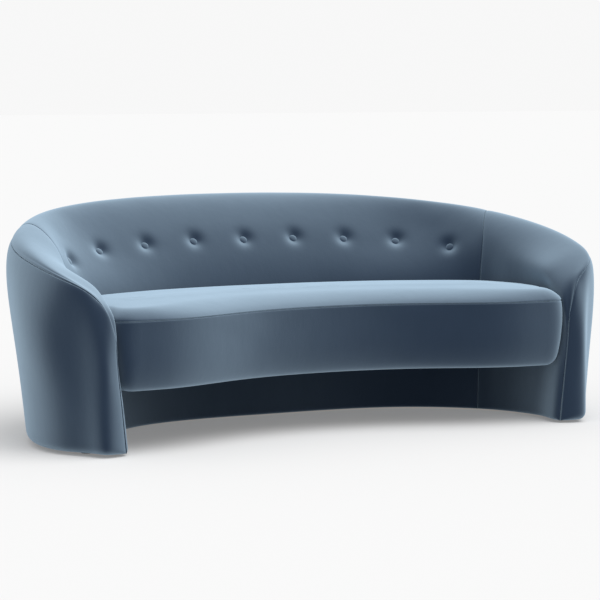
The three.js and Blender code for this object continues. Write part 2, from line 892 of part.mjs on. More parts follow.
const betweenRails = coreSolid(railBack + fitGap, railLow, railHigh);
const crossRailReach = seatFrontReach * crossRailShare;
const crossRails = [-crossRailReach, 0, crossRailReach].map((x) => {
  const placed = new THREE.Matrix4().setPosition(x, 0, railHigh - crossRailHeight / 2);
  const size = new THREE.Vector3(crossRailWidth, overallDepth, crossRailHeight);
  return boxSolid(size, placed).intersect(betweenRails);
});

const strapField = coreSolid(railFace, strapLow, strapLow + webbingThickness);
const strapReach = seatFrontReach * strapShare;
const straps = evenly(-strapReach, strapReach, strapCount).map((x) => {
  const placed = new THREE.Matrix4().setPosition(x, 0, strapLow);
  const size = new THREE.Vector3(webbingWidth, overallDepth, 2 * webbingThickness + cutOverrun);
  return boxSolid(size, placed).intersect(strapField);
});

const dustCoverLow = seatUnderside + fitGap;
const dustCover = coreSolid(railFace, dustCoverLow, dustCoverLow + dustCoverThickness);

// Seat mounting blocks: they pass from the seat's rear and end rails through the cushion's
// wall and the shell's padding to the ledger, and a bolt runs through each

const blockHeightAt = (railLow + railHigh) / 2;
const blockAlongShares = [0.2, 0.4, 0.6, 0.8];
const blockReach = 2 * (seatPadding + innerPadding + ledgerThickness);

function blockFrame(along) {
  const row = innerRowAt(along, blockHeightAt);
  const outward = levelNormal(along, row).negate();
  const across = new THREE.Vector3().crossVectors(up, outward);
  const placed = new THREE.Matrix4().makeBasis(outward, across, up);
  const origin = shellPoint(along, row);
  origin.z = blockHeightAt;
  return { outward, placed: placed.setPosition(origin), origin };
}

const blockFrames = blockAlongShares.map(blockFrame);
const blockBlank = (frame, clearance) =>
  boxSolid(
    new THREE.Vector3(blockReach, blockWidth + 2 * clearance, blockHeight + 2 * clearance),
    frame.placed,
  );
const frameTip = alongOf(frameTipRun);
const paddedSpace = cavitySolid(frameTip, 1 - frameTip, cavityColumnSteps, 0);
const seatCoreSpace = coreSolid(seatPadding, seatUnderside, seatCoreTop);
for (const frame of blockFrames) {
  const opening = blockBlank(frame, fitGap);
  cushion = cushion.subtract(opening);
  innerBack = innerBack.subtract(opening);
  innerLeft = innerLeft.subtract(opening);
  innerRight = innerRight.subtract(opening);
}

// Ledger behind the inner padding and bent top rail under the crest

const behind = (extra) => (along, row) => deepPoint(along, row, padDepth(along, row) + extra);
const ledgerAlongs = [
  ...leftArmAlongs.slice(ledgerSkip),
  ...backAlongs,
  ...rightArmAlongs.slice(0, -ledgerSkip),
];
// A point behind the padding at a height, on the same facets as the pad's backing
function ledgerAt(extra) {
  return (along, height) => {
    const points = ledgerRows(along).map((row) => behind(extra)(along, row));
    let i = 0;
    while (i < points.length - 2 && points[i + 1].z < height) i++;
    return points[i].clone().lerp(points[i + 1], (height - points[i].z) / (points[i + 1].z - points[i].z));
  };
}
const ledgerRows = (along) => backRows(along).slice(0, hemRowShares.length + 2);
const ledgerLow = blockHeightAt - ledgerDrop;
function ledgerHeights(margin) {
  const low = ledgerLow - margin;
  const high = ledgerLow + ledgerHeight + margin;
  return (along) => {
    const bend = behind(frameGap)(along, 1).z;
    return [low, THREE.MathUtils.clamp(bend, low + boltDiameter, high - boltDiameter), high];
  };
}
const ledgerStrip = (margin, near, far) =>
  sheetSolid(ledgerAlongs, ledgerHeights(margin), ledgerAt(near), ledgerAt(far));
const railRows = (margin) => (along) => {
  const rows = [buttonRowAt(along) + dimpleRadius * rowPitch, crestRow, crestRow + halfShare];
  return margin ? [rows[0] - margin, ...rows, rows[2] + margin] : rows;
};
const railStrip = (margin, near, far) =>
  sheetSolid(backAlongs, railRows(margin), behind(near), behind(far));

let ledger = clearOf(ledgerStrip(0, frameGap, frameGap + ledgerThickness), innerSpaces);
const topRail = railStrip(0, frameGap, frameGap + topRailThickness);
const ledgerNotch = ledgerStrip(notchGap, 0, frameGap + ledgerThickness + notchGap);
const topRailNotch = railStrip(notchShare, 0, frameGap + topRailThickness + notchGap);

const ledgerSpace = ledgerStrip(notchGap, frameGap - fitGap, frameGap + ledgerThickness);
const mountingBlocks = blockFrames.map((frame) =>
  mainBody(
    blockBlank(frame, 0).subtract(paddedSpace).subtract(ledgerSpace).subtract(seatCoreSpace),
  ),
);

// Base boards on the glides, one under each arm and one under the back

const boardLow = floorGap + fitGap;
const boardHigh = boardLow + boardThickness;
const boardBlank = (low, high) =>
  boxSolid(
    new THREE.Vector3(overallWidth, overallDepth, high - low),
    new THREE.Matrix4().setPosition(0, 0, (low + high) / 2),
  );
const boardLayer = boardBlank(boardLow, boardHigh);
const boardSolid = (from, to, count) =>
  clearOfPadding(cavitySolid(from, to, count, frameGap).intersect(boardLayer));
const baseLeft = boardSolid(frameTip, leftJoin - joinGap, armBoardSteps);
const baseBack = boardSolid(leftJoin + joinGap, rightJoin - joinGap, backBoardSteps);
const baseRight = boardSolid(rightJoin + joinGap, 1 - frameTip, armBoardSteps);

// Ribs: upright plywood profiles with a large lightening hole

const ribAlongShares = [0.075, 0.15, 0.235, 0.36, 0.5, 0.64, 0.765, 0.85, 0.925];
const ribSpace = cavitySolid(frameTip, 1 - frameTip, cavityColumnSteps, frameGap);
const ribHoleRows = [0.5, 1.6, 2.6, 5.7, 6.5, 7.5];
const ribHoleShare = 0.6;

function ribSolid(along) {
  const inside = shellPoint(along, 0);
  const outside = shellPoint(along, lastRow);
  const across = outside.clone().sub(inside).setZ(0);
  const reach = 2 * across.length();
  across.normalize();
  const thickness = new THREE.Vector3().crossVectors(across, up);
  const placed = new THREE.Matrix4().makeBasis(across, up, thickness);
  const foot = inside.clone().lerp(outside, 0.5).setZ(0);
  const ribLow = boardHigh + fitGap;
  const centre = foot.clone().setZ((ribLow + backHeight) / 2);
  const size = new THREE.Vector3(reach, backHeight - ribLow, ribThickness);
  const slab = boxSolid(size, placed.clone().setPosition(centre));
  const profile = ribHoleRows.map((row) => {
    const p = backingPoint(along, row).sub(foot);
    return new THREE.Vector2(p.dot(across), p.z);
  });
  const middle = profile.reduce((sum, p) => sum.add(p), new THREE.Vector2());
  middle.divideScalar(profile.length);
  const hole = profile.map((p) => p.clone().sub(middle).multiplyScalar(ribHoleShare).add(middle));
  const depth = 2 * ribThickness;
  const holeSolid = toSolid(
    new THREE.ExtrudeGeometry(new THREE.Shape(hole), { depth, bevelEnabled: false })
      .translate(0, 0, -depth / 2)
      .applyMatrix4(placed.clone().setPosition(foot)),
  );
  const cut = slab.intersect(ribSpace).subtract(holeSolid);
  return clearOfPadding(cut.subtract(ledgerNotch).subtract(topRailNotch));
}
const ribs = ribAlongShares.map(ribSolid);

// Bolts through ledger, block and seat rail

const turnToAxis = (axis) => new THREE.Quaternion().setFromUnitVectors(new THREE.Vector3(0, 1, 0), axis);
// How far behind the inner face the ledger's rear face lies, at the edges of a bolt's head
function ledgerRear(frame, along) {
  const edges = [-1, 1].flatMap((side) => [
    [along, blockHeightAt + (side * boltHeadDiameter) / 2],
    [along + alongOf((side * boltHeadDiameter) / 2), blockHeightAt],
  ]);
  const depths = edges.map(([place, height]) => {
    const row = innerRowAt(place, height);
    const rear = deepPoint(place, row, padDepth(place, row) + frameGap + ledgerThickness);
    return rear.sub(frame.origin).dot(frame.outward);
  });
  return Math.max(...depths) + fitGap;
}

const boltStart = -(railBack + fitGap);
const boltParts = blockFrames.map((frame, index) => ({
  frame,
  head: ledgerRear(frame, blockAlongShares[index]),
}));

const cylinderAlong = (frame, radius, from, to) => {
  const geometry = new THREE.CylinderGeometry(radius, radius, to - from, roundSides);
  geometry.translate(0, (from + to) / 2, 0).applyQuaternion(turnToAxis(frame.outward));
  return toSolid(geometry.translate(frame.origin.x, frame.origin.y, frame.origin.z));
};

const drill = (solid) =>
  boltParts.reduce((rest, { frame }) => {
    const bore = cylinderAlong(frame, boltDiameter / 2 + fitGap, -blockReach / 2, blockReach / 2);
    return rest.subtract(bore);
  }, solid);

ledger = drill(ledger);

// Place everything

addPiece(shellGroup, "inner_back_pad", innerBack, velvetFacing);
addPiece(shellGroup, "inner_arm_pad_left", innerLeft, velvetFacing);
addPiece(shellGroup, "inner_arm_pad_right", innerRight, velvetFacing);
addPiece(shellGroup, "outer_back_panel", outerBack, velvetDeep);
addPiece(shellGroup, "outer_arm_panel_left", outerLeft, velvetDeep);
addPiece(shellGroup, "outer_arm_panel_right", outerRight, velvetDeep);

const buttonProfile = [
  new THREE.Vector2(0, -buttonShankLength),
  new THREE.Vector2(buttonShankDiameter / 2, -buttonShankLength),
  new THREE.Vector2(buttonShankDiameter / 2, 0),
  new THREE.Vector2(buttonDiameter / 2, 0),
  new THREE.Vector2(buttonDiameter / 2, buttonRim),
  ...evenly(Math.PI / 4, Math.PI / 2, 2).map(
    (angle) =>
      new THREE.Vector2(
        (buttonDiameter / 2) * Math.cos(angle),
        buttonRim + (buttonDome - buttonRim) * Math.sin(angle),
      ),
  ),
];
buttonProfile[buttonProfile.length - 1].x = 0;
const buttonGeometry = new THREE.LatheGeometry(buttonProfile, roundSides);

const boreBetween = (radius, from, to, turn, seat) =>
  toSolid(
    new THREE.CylinderGeometry(radius, radius, to - from, roundSides)
      .translate(0, (from + to) / 2, 0)
      .applyQuaternion(turn)
      .translate(seat.x, seat.y, seat.z),
  );
buttons.forEach((button, i) => {
  const seat = button.surface.clone().addScaledVector(button.normal, 2 * fitGap - dimpleDepth);
  const turn = turnToAxis(button.normal);
  const shankBore = buttonShankDiameter / 2 + fitGap;
  const headBore = buttonDiameter / 2 + 2 * fitGap;
  innerBack = innerBack
    .subtract(boreBetween(shankBore, -buttonShankLength - fitGap, fitGap, turn, seat))
    .subtract(boreBetween(headBore, -fitGap, dimpleDepth, turn, seat));
  addPlaced(shellGroup, `button_${i + 1}`, buttonGeometry, velvetFacing, seat, turn);
});
shellGroup.getObjectByName("inner_back_pad").geometry = toGeometry(innerBack);

addPiece(seatGroup, "seat_cushion", cushion, velvetFacing);
addPiece(seatGroup, "seat_rail_rear", drill(rearRail), beech);
addPiece(seatGroup, "seat_rail_front", frontRail, beech);
addPiece(seatGroup, "seat_rail_left", drill(leftEndRail), beech);
addPiece(seatGroup, "seat_rail_right", drill(rightEndRail), beech);
crossRails.forEach((solid, i) => addPiece(seatGroup, `seat_cross_rail_${i + 1}`, solid, beech));
straps.forEach((solid, i) => addPiece(seatGroup, `seat_webbing_${i + 1}`, solid, webbingJute));
addPiece(seatGroup, "seat_dust_cover", dustCover, cambric);
mountingBlocks.forEach((solid, i) =>
  addPiece(seatGroup, `mounting_block_${i + 1}`, drill(solid), beech),
);

boltParts.forEach(({ frame, head }, i) => {
  const profile = [
    new THREE.Vector2(0, boltStart),
    new THREE.Vector2(boltDiameter / 2, boltStart),
    new THREE.Vector2(boltDiameter / 2, head),
    new THREE.Vector2(boltHeadDiameter / 2, head),
    new THREE.Vector2(boltHeadDiameter / 2, head + boltHeadHeight),
    new THREE.Vector2(0, head + boltHeadHeight),
  ];
  const geometry = new THREE.LatheGeometry(profile, roundSides);
  const turn = turnToAxis(frame.outward);
  addPlaced(seatGroup, `seat_bolt_${i + 1}`, geometry, zincSteel, frame.origin, turn);
});

addPiece(frameGroup, "base_board_left", baseLeft, plywood);
addPiece(frameGroup, "base_board_back", baseBack, plywood);
addPiece(frameGroup, "base_board_right", baseRight, plywood);
addPiece(frameGroup, "seat_ledger", ledger, plywood);
addPiece(frameGroup, "top_rail", topRail, plywood);
ribs.forEach((solid, i) => addPiece(frameGroup, `rib_${i + 1}`, solid, plywood));

const glideProfile = [
  new THREE.Vector2(0, 0),
  new THREE.Vector2(glideFootDiameter / 2, 0),
  new THREE.Vector2(glideDiameter / 2, floorGap / 3),
  new THREE.Vector2(glideDiameter / 2, floorGap),
  new THREE.Vector2(0, floorGap),
];
const glideGeometry = new THREE.LatheGeometry(glideProfile, glideSides).rotateX(Math.PI / 2);
const glideShares = [0.07, 0.16, 0.28, 0.42, 0.58, 0.72, 0.84, 0.93];
glideShares.forEach((share, i) => {
  const middle = backingPoint(share, 0).lerp(backingPoint(share, lastRow), 0.5);
  middle.z = 0;
  addPlaced(frameGroup, `glide_${i + 1}`, glideGeometry, glidePlastic, middle);
});

export default sofa;
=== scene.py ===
import json
import math

import bpy
import numpy as np
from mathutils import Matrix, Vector
from mathutils.geometry import tessellate_polygon


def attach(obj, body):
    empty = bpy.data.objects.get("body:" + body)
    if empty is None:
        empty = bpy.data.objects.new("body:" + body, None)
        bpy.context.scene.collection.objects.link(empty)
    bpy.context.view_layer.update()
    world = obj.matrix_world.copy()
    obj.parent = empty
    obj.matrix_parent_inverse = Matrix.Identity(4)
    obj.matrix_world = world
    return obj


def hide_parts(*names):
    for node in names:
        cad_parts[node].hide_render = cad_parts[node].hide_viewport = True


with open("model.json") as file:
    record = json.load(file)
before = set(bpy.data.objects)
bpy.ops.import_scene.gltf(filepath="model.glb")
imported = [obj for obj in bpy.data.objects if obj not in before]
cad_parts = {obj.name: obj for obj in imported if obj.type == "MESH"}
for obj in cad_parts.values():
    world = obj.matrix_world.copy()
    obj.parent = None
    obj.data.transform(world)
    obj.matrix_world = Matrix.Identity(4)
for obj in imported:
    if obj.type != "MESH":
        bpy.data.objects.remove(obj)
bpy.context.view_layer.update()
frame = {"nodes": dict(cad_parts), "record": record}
scene = bpy.context.scene
tiny = 1e-12  # stands in for a length of zero in a division
print("frame loaded", len(frame["nodes"]), "nodes")

# Camera and light: angles in degrees, everything else in metres

view = {
    "place": (-3.7062, -7.2221, 1.1301),
    "yaw": 27.5408,
    "pitch": 5.1579,
    "lens": 149.14,
    "sensor": 36.0,
    "reach": 100.0,
}
cameraData = bpy.data.cameras.new("camera")
cameraData.lens = view["lens"]
cameraData.sensor_width = view["sensor"]
cameraData.clip_end = view["reach"]
camera = bpy.data.objects.new("camera", cameraData)
camera.location = view["place"]
camera.rotation_euler = (math.radians(90.0 - view["pitch"]), 0.0, math.radians(-view["yaw"]))
scene.collection.objects.link(camera)
scene.camera = camera
scene.view_settings.view_transform = "Standard"

light = {
    "backdrop": 0.935,  # what the camera sees
    "dome": 0.78,  # what lights the sofa
    "sun": 2.1,
    "sunSpread": 60.0,
    "sunTilt": 24.0,
    "sunTurn": 40.0,
}


def makeWorld():
    world = bpy.data.worlds.new("studio")
    scene.world = world
    world.use_nodes = True
    nodes = world.node_tree.nodes
    links = world.node_tree.links
    nodes.clear()
    out = nodes.new("ShaderNodeOutputWorld")
    seen = nodes.new("ShaderNodeBackground")
    seen.inputs["Color"].default_value = (light["backdrop"],) * 3 + (1.0,)
    lit = nodes.new("ShaderNodeBackground")
    lit.inputs["Color"].default_value = (light["dome"],) * 3 + (1.0,)
    ray = nodes.new("ShaderNodeLightPath")
    choose = nodes.new("ShaderNodeMixShader")
    links.new(ray.outputs["Is Camera Ray"], choose.inputs["Fac"])
    links.new(lit.outputs[0], choose.inputs[1])
    links.new(seen.outputs[0], choose.inputs[2])
    links.new(choose.outputs[0], out.inputs["Surface"])


def makeSun():
    data = bpy.data.lights.new("sun", "SUN")
    data.energy = light["sun"]
    data.angle = math.radians(light["sunSpread"])
    sun = bpy.data.objects.new("sun", data)
    sun.rotation_euler = (math.radians(light["sunTilt"]), 0.0, math.radians(light["sunTurn"]))
    scene.collection.objects.link(sun)


makeWorld()
makeSun()
print("camera and light set")

# Shader groups


def newGroup(name, inputs, outputs):
    group = bpy.data.node_groups.new(name, "ShaderNodeTree")
    for label, default in inputs:
        socket = group.interface.new_socket(label, in_out="INPUT", socket_type="NodeSocketFloat")
        socket.default_value = default
    for label, kind in outputs:
        group.interface.new_socket(label, in_out="OUTPUT", socket_type=kind)
    start = group.nodes.new("NodeGroupInput")
    end = group.nodes.new("NodeGroupOutput")
    return group, start, end


def noiseNode(tree, coords, scale, detail=3.0, rough=0.5, stretch=None):
    if stretch:
        mapping = tree.nodes.new("ShaderNodeMapping")
        mapping.inputs["Scale"].default_value = stretch
        tree.links.new(coords, mapping.inputs["Vector"])
        coords = mapping.outputs["Vector"]
    node = tree.nodes.new("ShaderNodeTexNoise")
    node.inputs["Scale"].default_value = scale
    node.inputs["Detail"].default_value = detail
    node.inputs["Roughness"].default_value = rough
    tree.links.new(coords, node.inputs["Vector"])
    return node.outputs["Fac"]


def mathNode(tree, operation, a, b=None, clamp=False):
    node = tree.nodes.new("ShaderNodeMath")
    node.operation = operation
    node.use_clamp = clamp
    for socket, value in zip(node.inputs, (a, b)):
        if value is None:
            continue
        if isinstance(value, (int, float)):
            socket.default_value = value
        else:
            tree.links.new(value, socket)
    return node.outputs[0]


def rampNode(tree, value, low, high):
    node = tree.nodes.new("ShaderNodeMapRange")
    node.inputs["From Min"].default_value = low
    node.inputs["From Max"].default_value = high
    tree.links.new(value, node.inputs["Value"])
    return node.outputs["Result"]


def bumpNode(tree, height, strength, distance, normal=None):
    node = tree.nodes.new("ShaderNodeBump")
    node.inputs["Distance"].default_value = distance
    if isinstance(strength, (int, float)):
        node.inputs["Strength"].default_value = strength
    else:
        tree.links.new(strength, node.inputs["Strength"])
    tree.links.new(height, node.inputs["Height"])
    if normal:
        tree.links.new(normal, node.inputs["Normal"])
    return node.outputs["Normal"]


shadeAndNormal = [("Shade", "NodeSocketFloat"), ("Normal", "NodeSocketVector")]


def times(tree, value, factor):
    return mathNode(tree, "MULTIPLY", value, factor)


# Noises are scale, detail, roughness and stretch
pileLook = {
    "broad": (5.0, 3.0, 0.55),
    "brushed": (22.0, 3.0, 0.6, (1.0, 1.0, 0.45)),
    "fine": (900.0, 2.0, 0.6),
    "tufts": (320.0, 2.0, 0.6),
    "contrast": (0.3, 0.7),
    "broadShare": 0.6,
    "brushedShare": 0.4,
    "layShare": 0.65,
    "fineShare": 0.35,
    "tuftBump": 0.25,
    "tuftHeight": 0.0006,
    "brushedBump": 0.1,
    "brushedHeight": 0.002,
}


def makePileGroup():
    look = pileLook
    group, start, end = newGroup("pile", [("Lay", 1.0), ("Depth", 1.0)], shadeAndNormal)
    coords = group.nodes.new("ShaderNodeTexCoord").outputs["Object"]
    broad = rampNode(group, noiseNode(group, coords, *look["broad"]), *look["contrast"])
    brushed = rampNode(group, noiseNode(group, coords, *look["brushed"]), *look["contrast"])
    fine = noiseNode(group, coords, *look["fine"])
    tufts = noiseNode(group, coords, *look["tufts"])
    broadPart = times(group, broad, look["broadShare"])
    lay = mathNode(group, "ADD", broadPart, times(group, brushed, look["brushedShare"]))
    lay = times(group, lay, start.outputs["Lay"])
    grit = times(group, fine, look["fineShare"])
    shade = mathNode(group, "ADD", times(group, lay, look["layShare"]), grit, True)
    group.links.new(shade, end.inputs["Shade"])
    tuftStrength = times(group, start.outputs["Depth"], look["tuftBump"])
    tuftNormal = bumpNode(group, tufts, tuftStrength, look["tuftHeight"])
    laidStrength = times(group, start.outputs["Depth"], look["brushedBump"])
    laidNormal = bumpNode(group, brushed, laidStrength, look["brushedHeight"], tuftNormal)
    group.links.new(laidNormal, end.inputs["Normal"])
    return group


grainLook = {
    "streaks": (60.0, 5.0, 0.6, (0.06, 1.0, 1.0)),
    "pores": (500.0, 3.0, 0.6, (0.05, 1.0, 1.0)),
    "streakShare": 0.7,
    "poreShare": 0.3,
    "bump": 0.25,
    "height": 0.0005,
}


def makeGrainGroup():
    look = grainLook
    group, start, end = newGroup("grain", [("Along", 1.0)], shadeAndNormal)
    coords = group.nodes.new("ShaderNodeTexCoord").outputs["Object"]
    streaks = noiseNode(group, coords, *look["streaks"])
    pores = noiseNode(group, coords, *look["pores"])
    streakPart = times(group, streaks, look["streakShare"])
    shade = mathNode(group, "ADD", streakPart, times(group, pores, look["poreShare"]))
    group.links.new(times(group, shade, start.outputs["Along"]), end.inputs["Shade"])
    group.links.new(bumpNode(group, pores, look["bump"], look["height"]), end.inputs["Normal"])
    return group


weaveLook = {
    "pitch": 300.0,
    "wearScale": 40.0,
    "threadShare": 0.6,
    "wearShare": 0.4,
    "bump": 0.5,
    "height": 0.0006,
}


def makeWeaveGroup():
    look = weaveLook
    group, start, end = newGroup("weave", [("Pitch", look["pitch"])], shadeAndNormal)
    coords = group.nodes.new("ShaderNodeTexCoord").outputs["Object"]
    split = group.nodes.new("ShaderNodeSeparateXYZ")
    group.links.new(coords, split.inputs[0])
    waves = []
    for axis in ("X", "Y"):
        phase = times(group, split.outputs[axis], start.outputs["Pitch"])
        waves.append(mathNode(group, "ABSOLUTE", mathNode(group, "SINE", phase)))
    threads = mathNode(group, "MAXIMUM", waves[0], waves[1])
    worn = times(group, noiseNode(group, coords, look["wearScale"]), look["wearShare"])
    shade = mathNode(group, "ADD", times(group, threads, look["threadShare"]), worn)
    group.links.new(shade, end.inputs["Shade"])
    group.links.new(bumpNode(group, threads, look["bump"], look["height"]), end.inputs["Normal"])
    return group


shaderGroups = {"pile": makePileGroup(), "grain": makeGrainGroup(), "weave": makeWeaveGroup()}
print("shader groups made")

# Materials


def newMaterial(name):
    material = bpy.data.materials.new(name)
    material.use_nodes = True
    nodes = material.node_tree.nodes
    nodes.clear()
    out = nodes.new("ShaderNodeOutputMaterial")
    shader = nodes.new("ShaderNodeBsdfPrincipled")
    material.node_tree.links.new(shader.outputs[0], out.inputs["Surface"])
    return material, shader


def mixColours(tree, share, low, high):
    node = tree.nodes.new("ShaderNodeMix")
    node.data_type = "RGBA"
    node.inputs["A"].default_value = (*low, 1.0)
    node.inputs["B"].default_value = (*high, 1.0)
    tree.links.new(share, node.inputs["Factor"])
    return node.outputs["Result"]


def groupNode(tree, name, **values):
    node = tree.nodes.new("ShaderNodeGroup")
    node.node_tree = shaderGroups[name]
    for label, value in values.items():
        node.inputs[label].default_value = value
    return node


# A dark rough base, with a painted sheen: a lighter colour mixed in where the surface is seen from its
# side
velvet = {
    "low": (0.021, 0.035, 0.059),
    "high": (0.024, 0.039, 0.066),
    "rough": 0.8,
    "sheen": 0.02,
    "sheenRough": 0.4,
    "sheenTint": (0.66, 0.84, 1.0),
    "specular": 0.05,
    # painted sheen: its colours, and how fast it grows towards the edges seen from the side
    "paintedSheenLow": (0.355, 0.475, 0.585),
    "paintedSheenHigh": (0.39, 0.52, 0.64),
    "facing": 0.5,
    "paintedSheenTurn": 1.38,
}


def makeVelvet():
    material, shader = newMaterial("velvet")
    tree = material.node_tree
    pile = groupNode(tree, "pile")
    colour = mixColours(tree, pile.outputs["Shade"], velvet["low"], velvet["high"])
    tree.links.new(colour, shader.inputs["Base Color"])
    tree.links.new(pile.outputs["Normal"], shader.inputs["Normal"])
    shader.inputs["Roughness"].default_value = velvet["rough"]
    shader.inputs["Specular IOR Level"].default_value = velvet["specular"]
    shader.inputs["Sheen Weight"].default_value = velvet["sheen"]
    shader.inputs["Sheen Roughness"].default_value = velvet["sheenRough"]
    shader.inputs["Sheen Tint"].default_value = (*velvet["sheenTint"], 1.0)
    # painted sheen: a light diffuse colour, shown more where the surface turns edge-on to the view
    paintedSheen = tree.nodes.new("ShaderNodeBsdfDiffuse")
    paintedSheenColour = mixColours(tree, pile.outputs["Shade"], velvet["paintedSheenLow"], velvet["paintedSheenHigh"])
    tree.links.new(paintedSheenColour, paintedSheen.inputs["Color"])
    tree.links.new(pile.outputs["Normal"], paintedSheen.inputs["Normal"])
    rim = tree.nodes.new("ShaderNodeLayerWeight")
    rim.inputs["Blend"].default_value = velvet["facing"]
    tree.links.new(pile.outputs["Normal"], rim.inputs["Normal"])
    share = mathNode(tree, "POWER", rim.outputs["Facing"], velvet["paintedSheenTurn"], True)
    blend = tree.nodes.new("ShaderNodeMixShader")
    tree.links.new(share, blend.inputs["Fac"])
    tree.links.new(shader.outputs[0], blend.inputs[1])
    tree.links.new(paintedSheen.outputs[0], blend.inputs[2])
    out = next(node for node in tree.nodes if node.type == "OUTPUT_MATERIAL")
    tree.links.new(blend.outputs[0], out.inputs["Surface"])
    return material


# What the frame and the hardware are made of
finishes = {
    "plywood": {
        "group": "grain", "low": (0.42, 0.28, 0.15), "high": (0.74, 0.56, 0.36), "rough": 0.6,
    },
    "beech": {
        "group": "grain", "low": (0.36, 0.2, 0.1), "high": (0.62, 0.42, 0.24), "rough": 0.55,
    },
    "webbing": {
        "group": "weave", "low": (0.12, 0.095, 0.06), "high": (0.4, 0.33, 0.22), "rough": 0.9,
        "inputs": {"Pitch": 900.0},
    },
    "cambric": {
        "group": "weave", "low": (0.006, 0.006, 0.007), "high": (0.022, 0.022, 0.024), "rough": 0.9,
        "inputs": {"Pitch": 1800.0},
    },
    "zinc_steel": {
        "group": "pile", "low": (0.42, 0.43, 0.45), "high": (0.62, 0.63, 0.64), "rough": 0.35,
        "metallic": 1.0, "inputs": {"Depth": 0.1},
    },
    "glide_plastic": {
        "group": "pile", "low": (0.008, 0.008, 0.009), "high": (0.02, 0.02, 0.021), "rough": 0.5,
        "inputs": {"Depth": 0.3},
    },
}


def makePlain(name, finish):
    material, shader = newMaterial(name)
    tree = material.node_tree
    pattern = groupNode(tree, finish["group"], **finish.get("inputs", {}))
    colour = mixColours(tree, pattern.outputs["Shade"], finish["low"], finish["high"])
    tree.links.new(colour, shader.inputs["Base Color"])
    tree.links.new(pattern.outputs["Normal"], shader.inputs["Normal"])
    shader.inputs["Roughness"].default_value = finish["rough"]
    shader.inputs["Metallic"].default_value = finish.get("metallic", 0.0)
    return material


materials = {"velvet": makeVelvet()}
for name, finish in finishes.items():
    materials[name] = makePlain(name, finish)

for entry in frame["record"]["subparts"]:
    node = frame["nodes"].get(entry["node"])
    if node:
        node.data.materials.clear()
        node.data.materials.append(materials[entry["material_slot"]])
print("materials made")

# The shell's surface, from the same guide lines as the solids. Each guide is a row of points from
# the left arm's tip to the middle of the back, as shares of the half width, the depth and the height.

shell = {
    "width": 2.010,
    "depth": 1.019,
    "height": 0.735,
    "floorGap": 0.008,
    "innerHem": 0.012,
    "outerHem": 0.026,
    "tipHemShare": 0.55,
    "spineReachShare": 0.8,
    "joinStation": 7,
    "sectionSteps": 500,
    "alongSteps": 1601,
}
shell["guideShares"] = {
    "floorInside": [
        [0.764, 0.034, 0], [0.755, 0.046, 0], [0.752, 0.066, 0], [0.761, 0.125, 0],
        [0.759, 0.18, 0], [0.744, 0.245, 0], [0.714, 0.322, 0], [0.67, 0.386, 0],
        [0.553, 0.49, 0], [0.359, 0.568, 0], [0, 0.589, 0],
    ],
    "seatLevel": [
        [0.792, 0.035, 0.394], [0.79, 0.054, 0.456], [0.791, 0.078, 0.49], [0.808, 0.14, 0.544],
        [0.811, 0.202, 0.585], [0.808, 0.28, 0.594], [0.787, 0.386, 0.594], [0.745, 0.494, 0.594],
        [0.608, 0.588, 0.594], [0.389, 0.665, 0.594], [0, 0.7, 0.594],
    ],
    "shoulder": [
        [0.796, 0.036, 0.456], [0.794, 0.05, 0.528], [0.793, 0.067, 0.572], [0.795, 0.13, 0.632],
        [0.802, 0.188, 0.674], [0.813, 0.278, 0.7], [0.805, 0.407, 0.742], [0.778, 0.53, 0.804],
        [0.669, 0.693, 0.82], [0.43, 0.777, 0.82], [0, 0.798, 0.82],
    ],
    "crest": [
        [0.798, 0.035, 0.475], [0.813, 0.046, 0.556], [0.826, 0.062, 0.615], [0.864, 0.091, 0.678],
        [0.916, 0.147, 0.738], [0.946, 0.232, 0.785], [0.926, 0.416, 0.85], [0.844, 0.61, 0.908],
        [0.697, 0.79, 0.949], [0.463, 0.907, 0.978], [0, 0.957, 0.994],
    ],
    "rimSeam": [
        [0.799, 0.033, 0.49], [0.818, 0.037, 0.578], [0.843, 0.051, 0.632], [0.886, 0.068, 0.682],
        [0.937, 0.118, 0.722], [0.969, 0.225, 0.76], [0.96, 0.445, 0.814], [0.88, 0.634, 0.859],
        [0.735, 0.81, 0.875], [0.476, 0.938, 0.905], [0, 0.99, 0.93],
    ],
    "bulge": [
        [0.795, 0.032, 0.394], [0.82, 0.021, 0.408], [0.847, 0.02, 0.408], [0.896, 0.073, 0.49],
        [0.964, 0.136, 0.544], [0.998, 0.241, 0.571], [0.963, 0.464, 0.626], [0.878, 0.698, 0.68],
        [0.73, 0.846, 0.721], [0.472, 0.962, 0.762], [0, 1, 0.776],
    ],
    "floorOutside": [
        [0.767, 0.031, 0], [0.79, 0.018, 0], [0.834, 0.004, 0], [0.877, 0.059, 0],
        [0.927, 0.13, 0], [0.956, 0.231, 0], [0.928, 0.422, 0], [0.827, 0.619, 0],
        [0.688, 0.75, 0], [0.445, 0.854, 0], [0, 0.89, 0],
    ],
}
# Rows count up over the crest, from the floor inside to the floor outside
rowOf = {"shoulder": 3, "crest": 4, "rimSeam": 5, "bulge": 6, "floorOut": 8}


# Natural cubic spline: the second slopes at the knots, then its points
def splineBends(knots, values):
    last = len(knots) - 1
    bends = np.zeros_like(values)
    carry = np.zeros(last + 1)
    for i in range(1, last):
        before = knots[i] - knots[i - 1]
        after = knots[i + 1] - knots[i]
        turn = (values[i + 1] - values[i]) / after - (values[i] - values[i - 1]) / before
        pivot = 2 * (before + after) - before * carry[i - 1]
        carry[i] = after / pivot
        bends[i] = (6 * turn - before * bends[i - 1]) / pivot
    for i in range(last - 1, 0, -1):
        bends[i] -= carry[i] * bends[i + 1]
    return bends


def splineAt(knots, values, bends, at):
    at = np.asarray(at, dtype=float)
    i = np.searchsorted(knots[1:-1], at, side="left")
    span = knots[i + 1] - knots[i]
    b = (at - knots[i]) / span
    a = 1 - b
    if values.ndim > 1:
        a = a[..., None]
        b = b[..., None]
        span = span[..., None]
    pull = ((a**3 - a) * bends[i] + (b**3 - b) * bends[i + 1]) * span**2 / 6
    return a * values[i] + b * values[i + 1] + pull


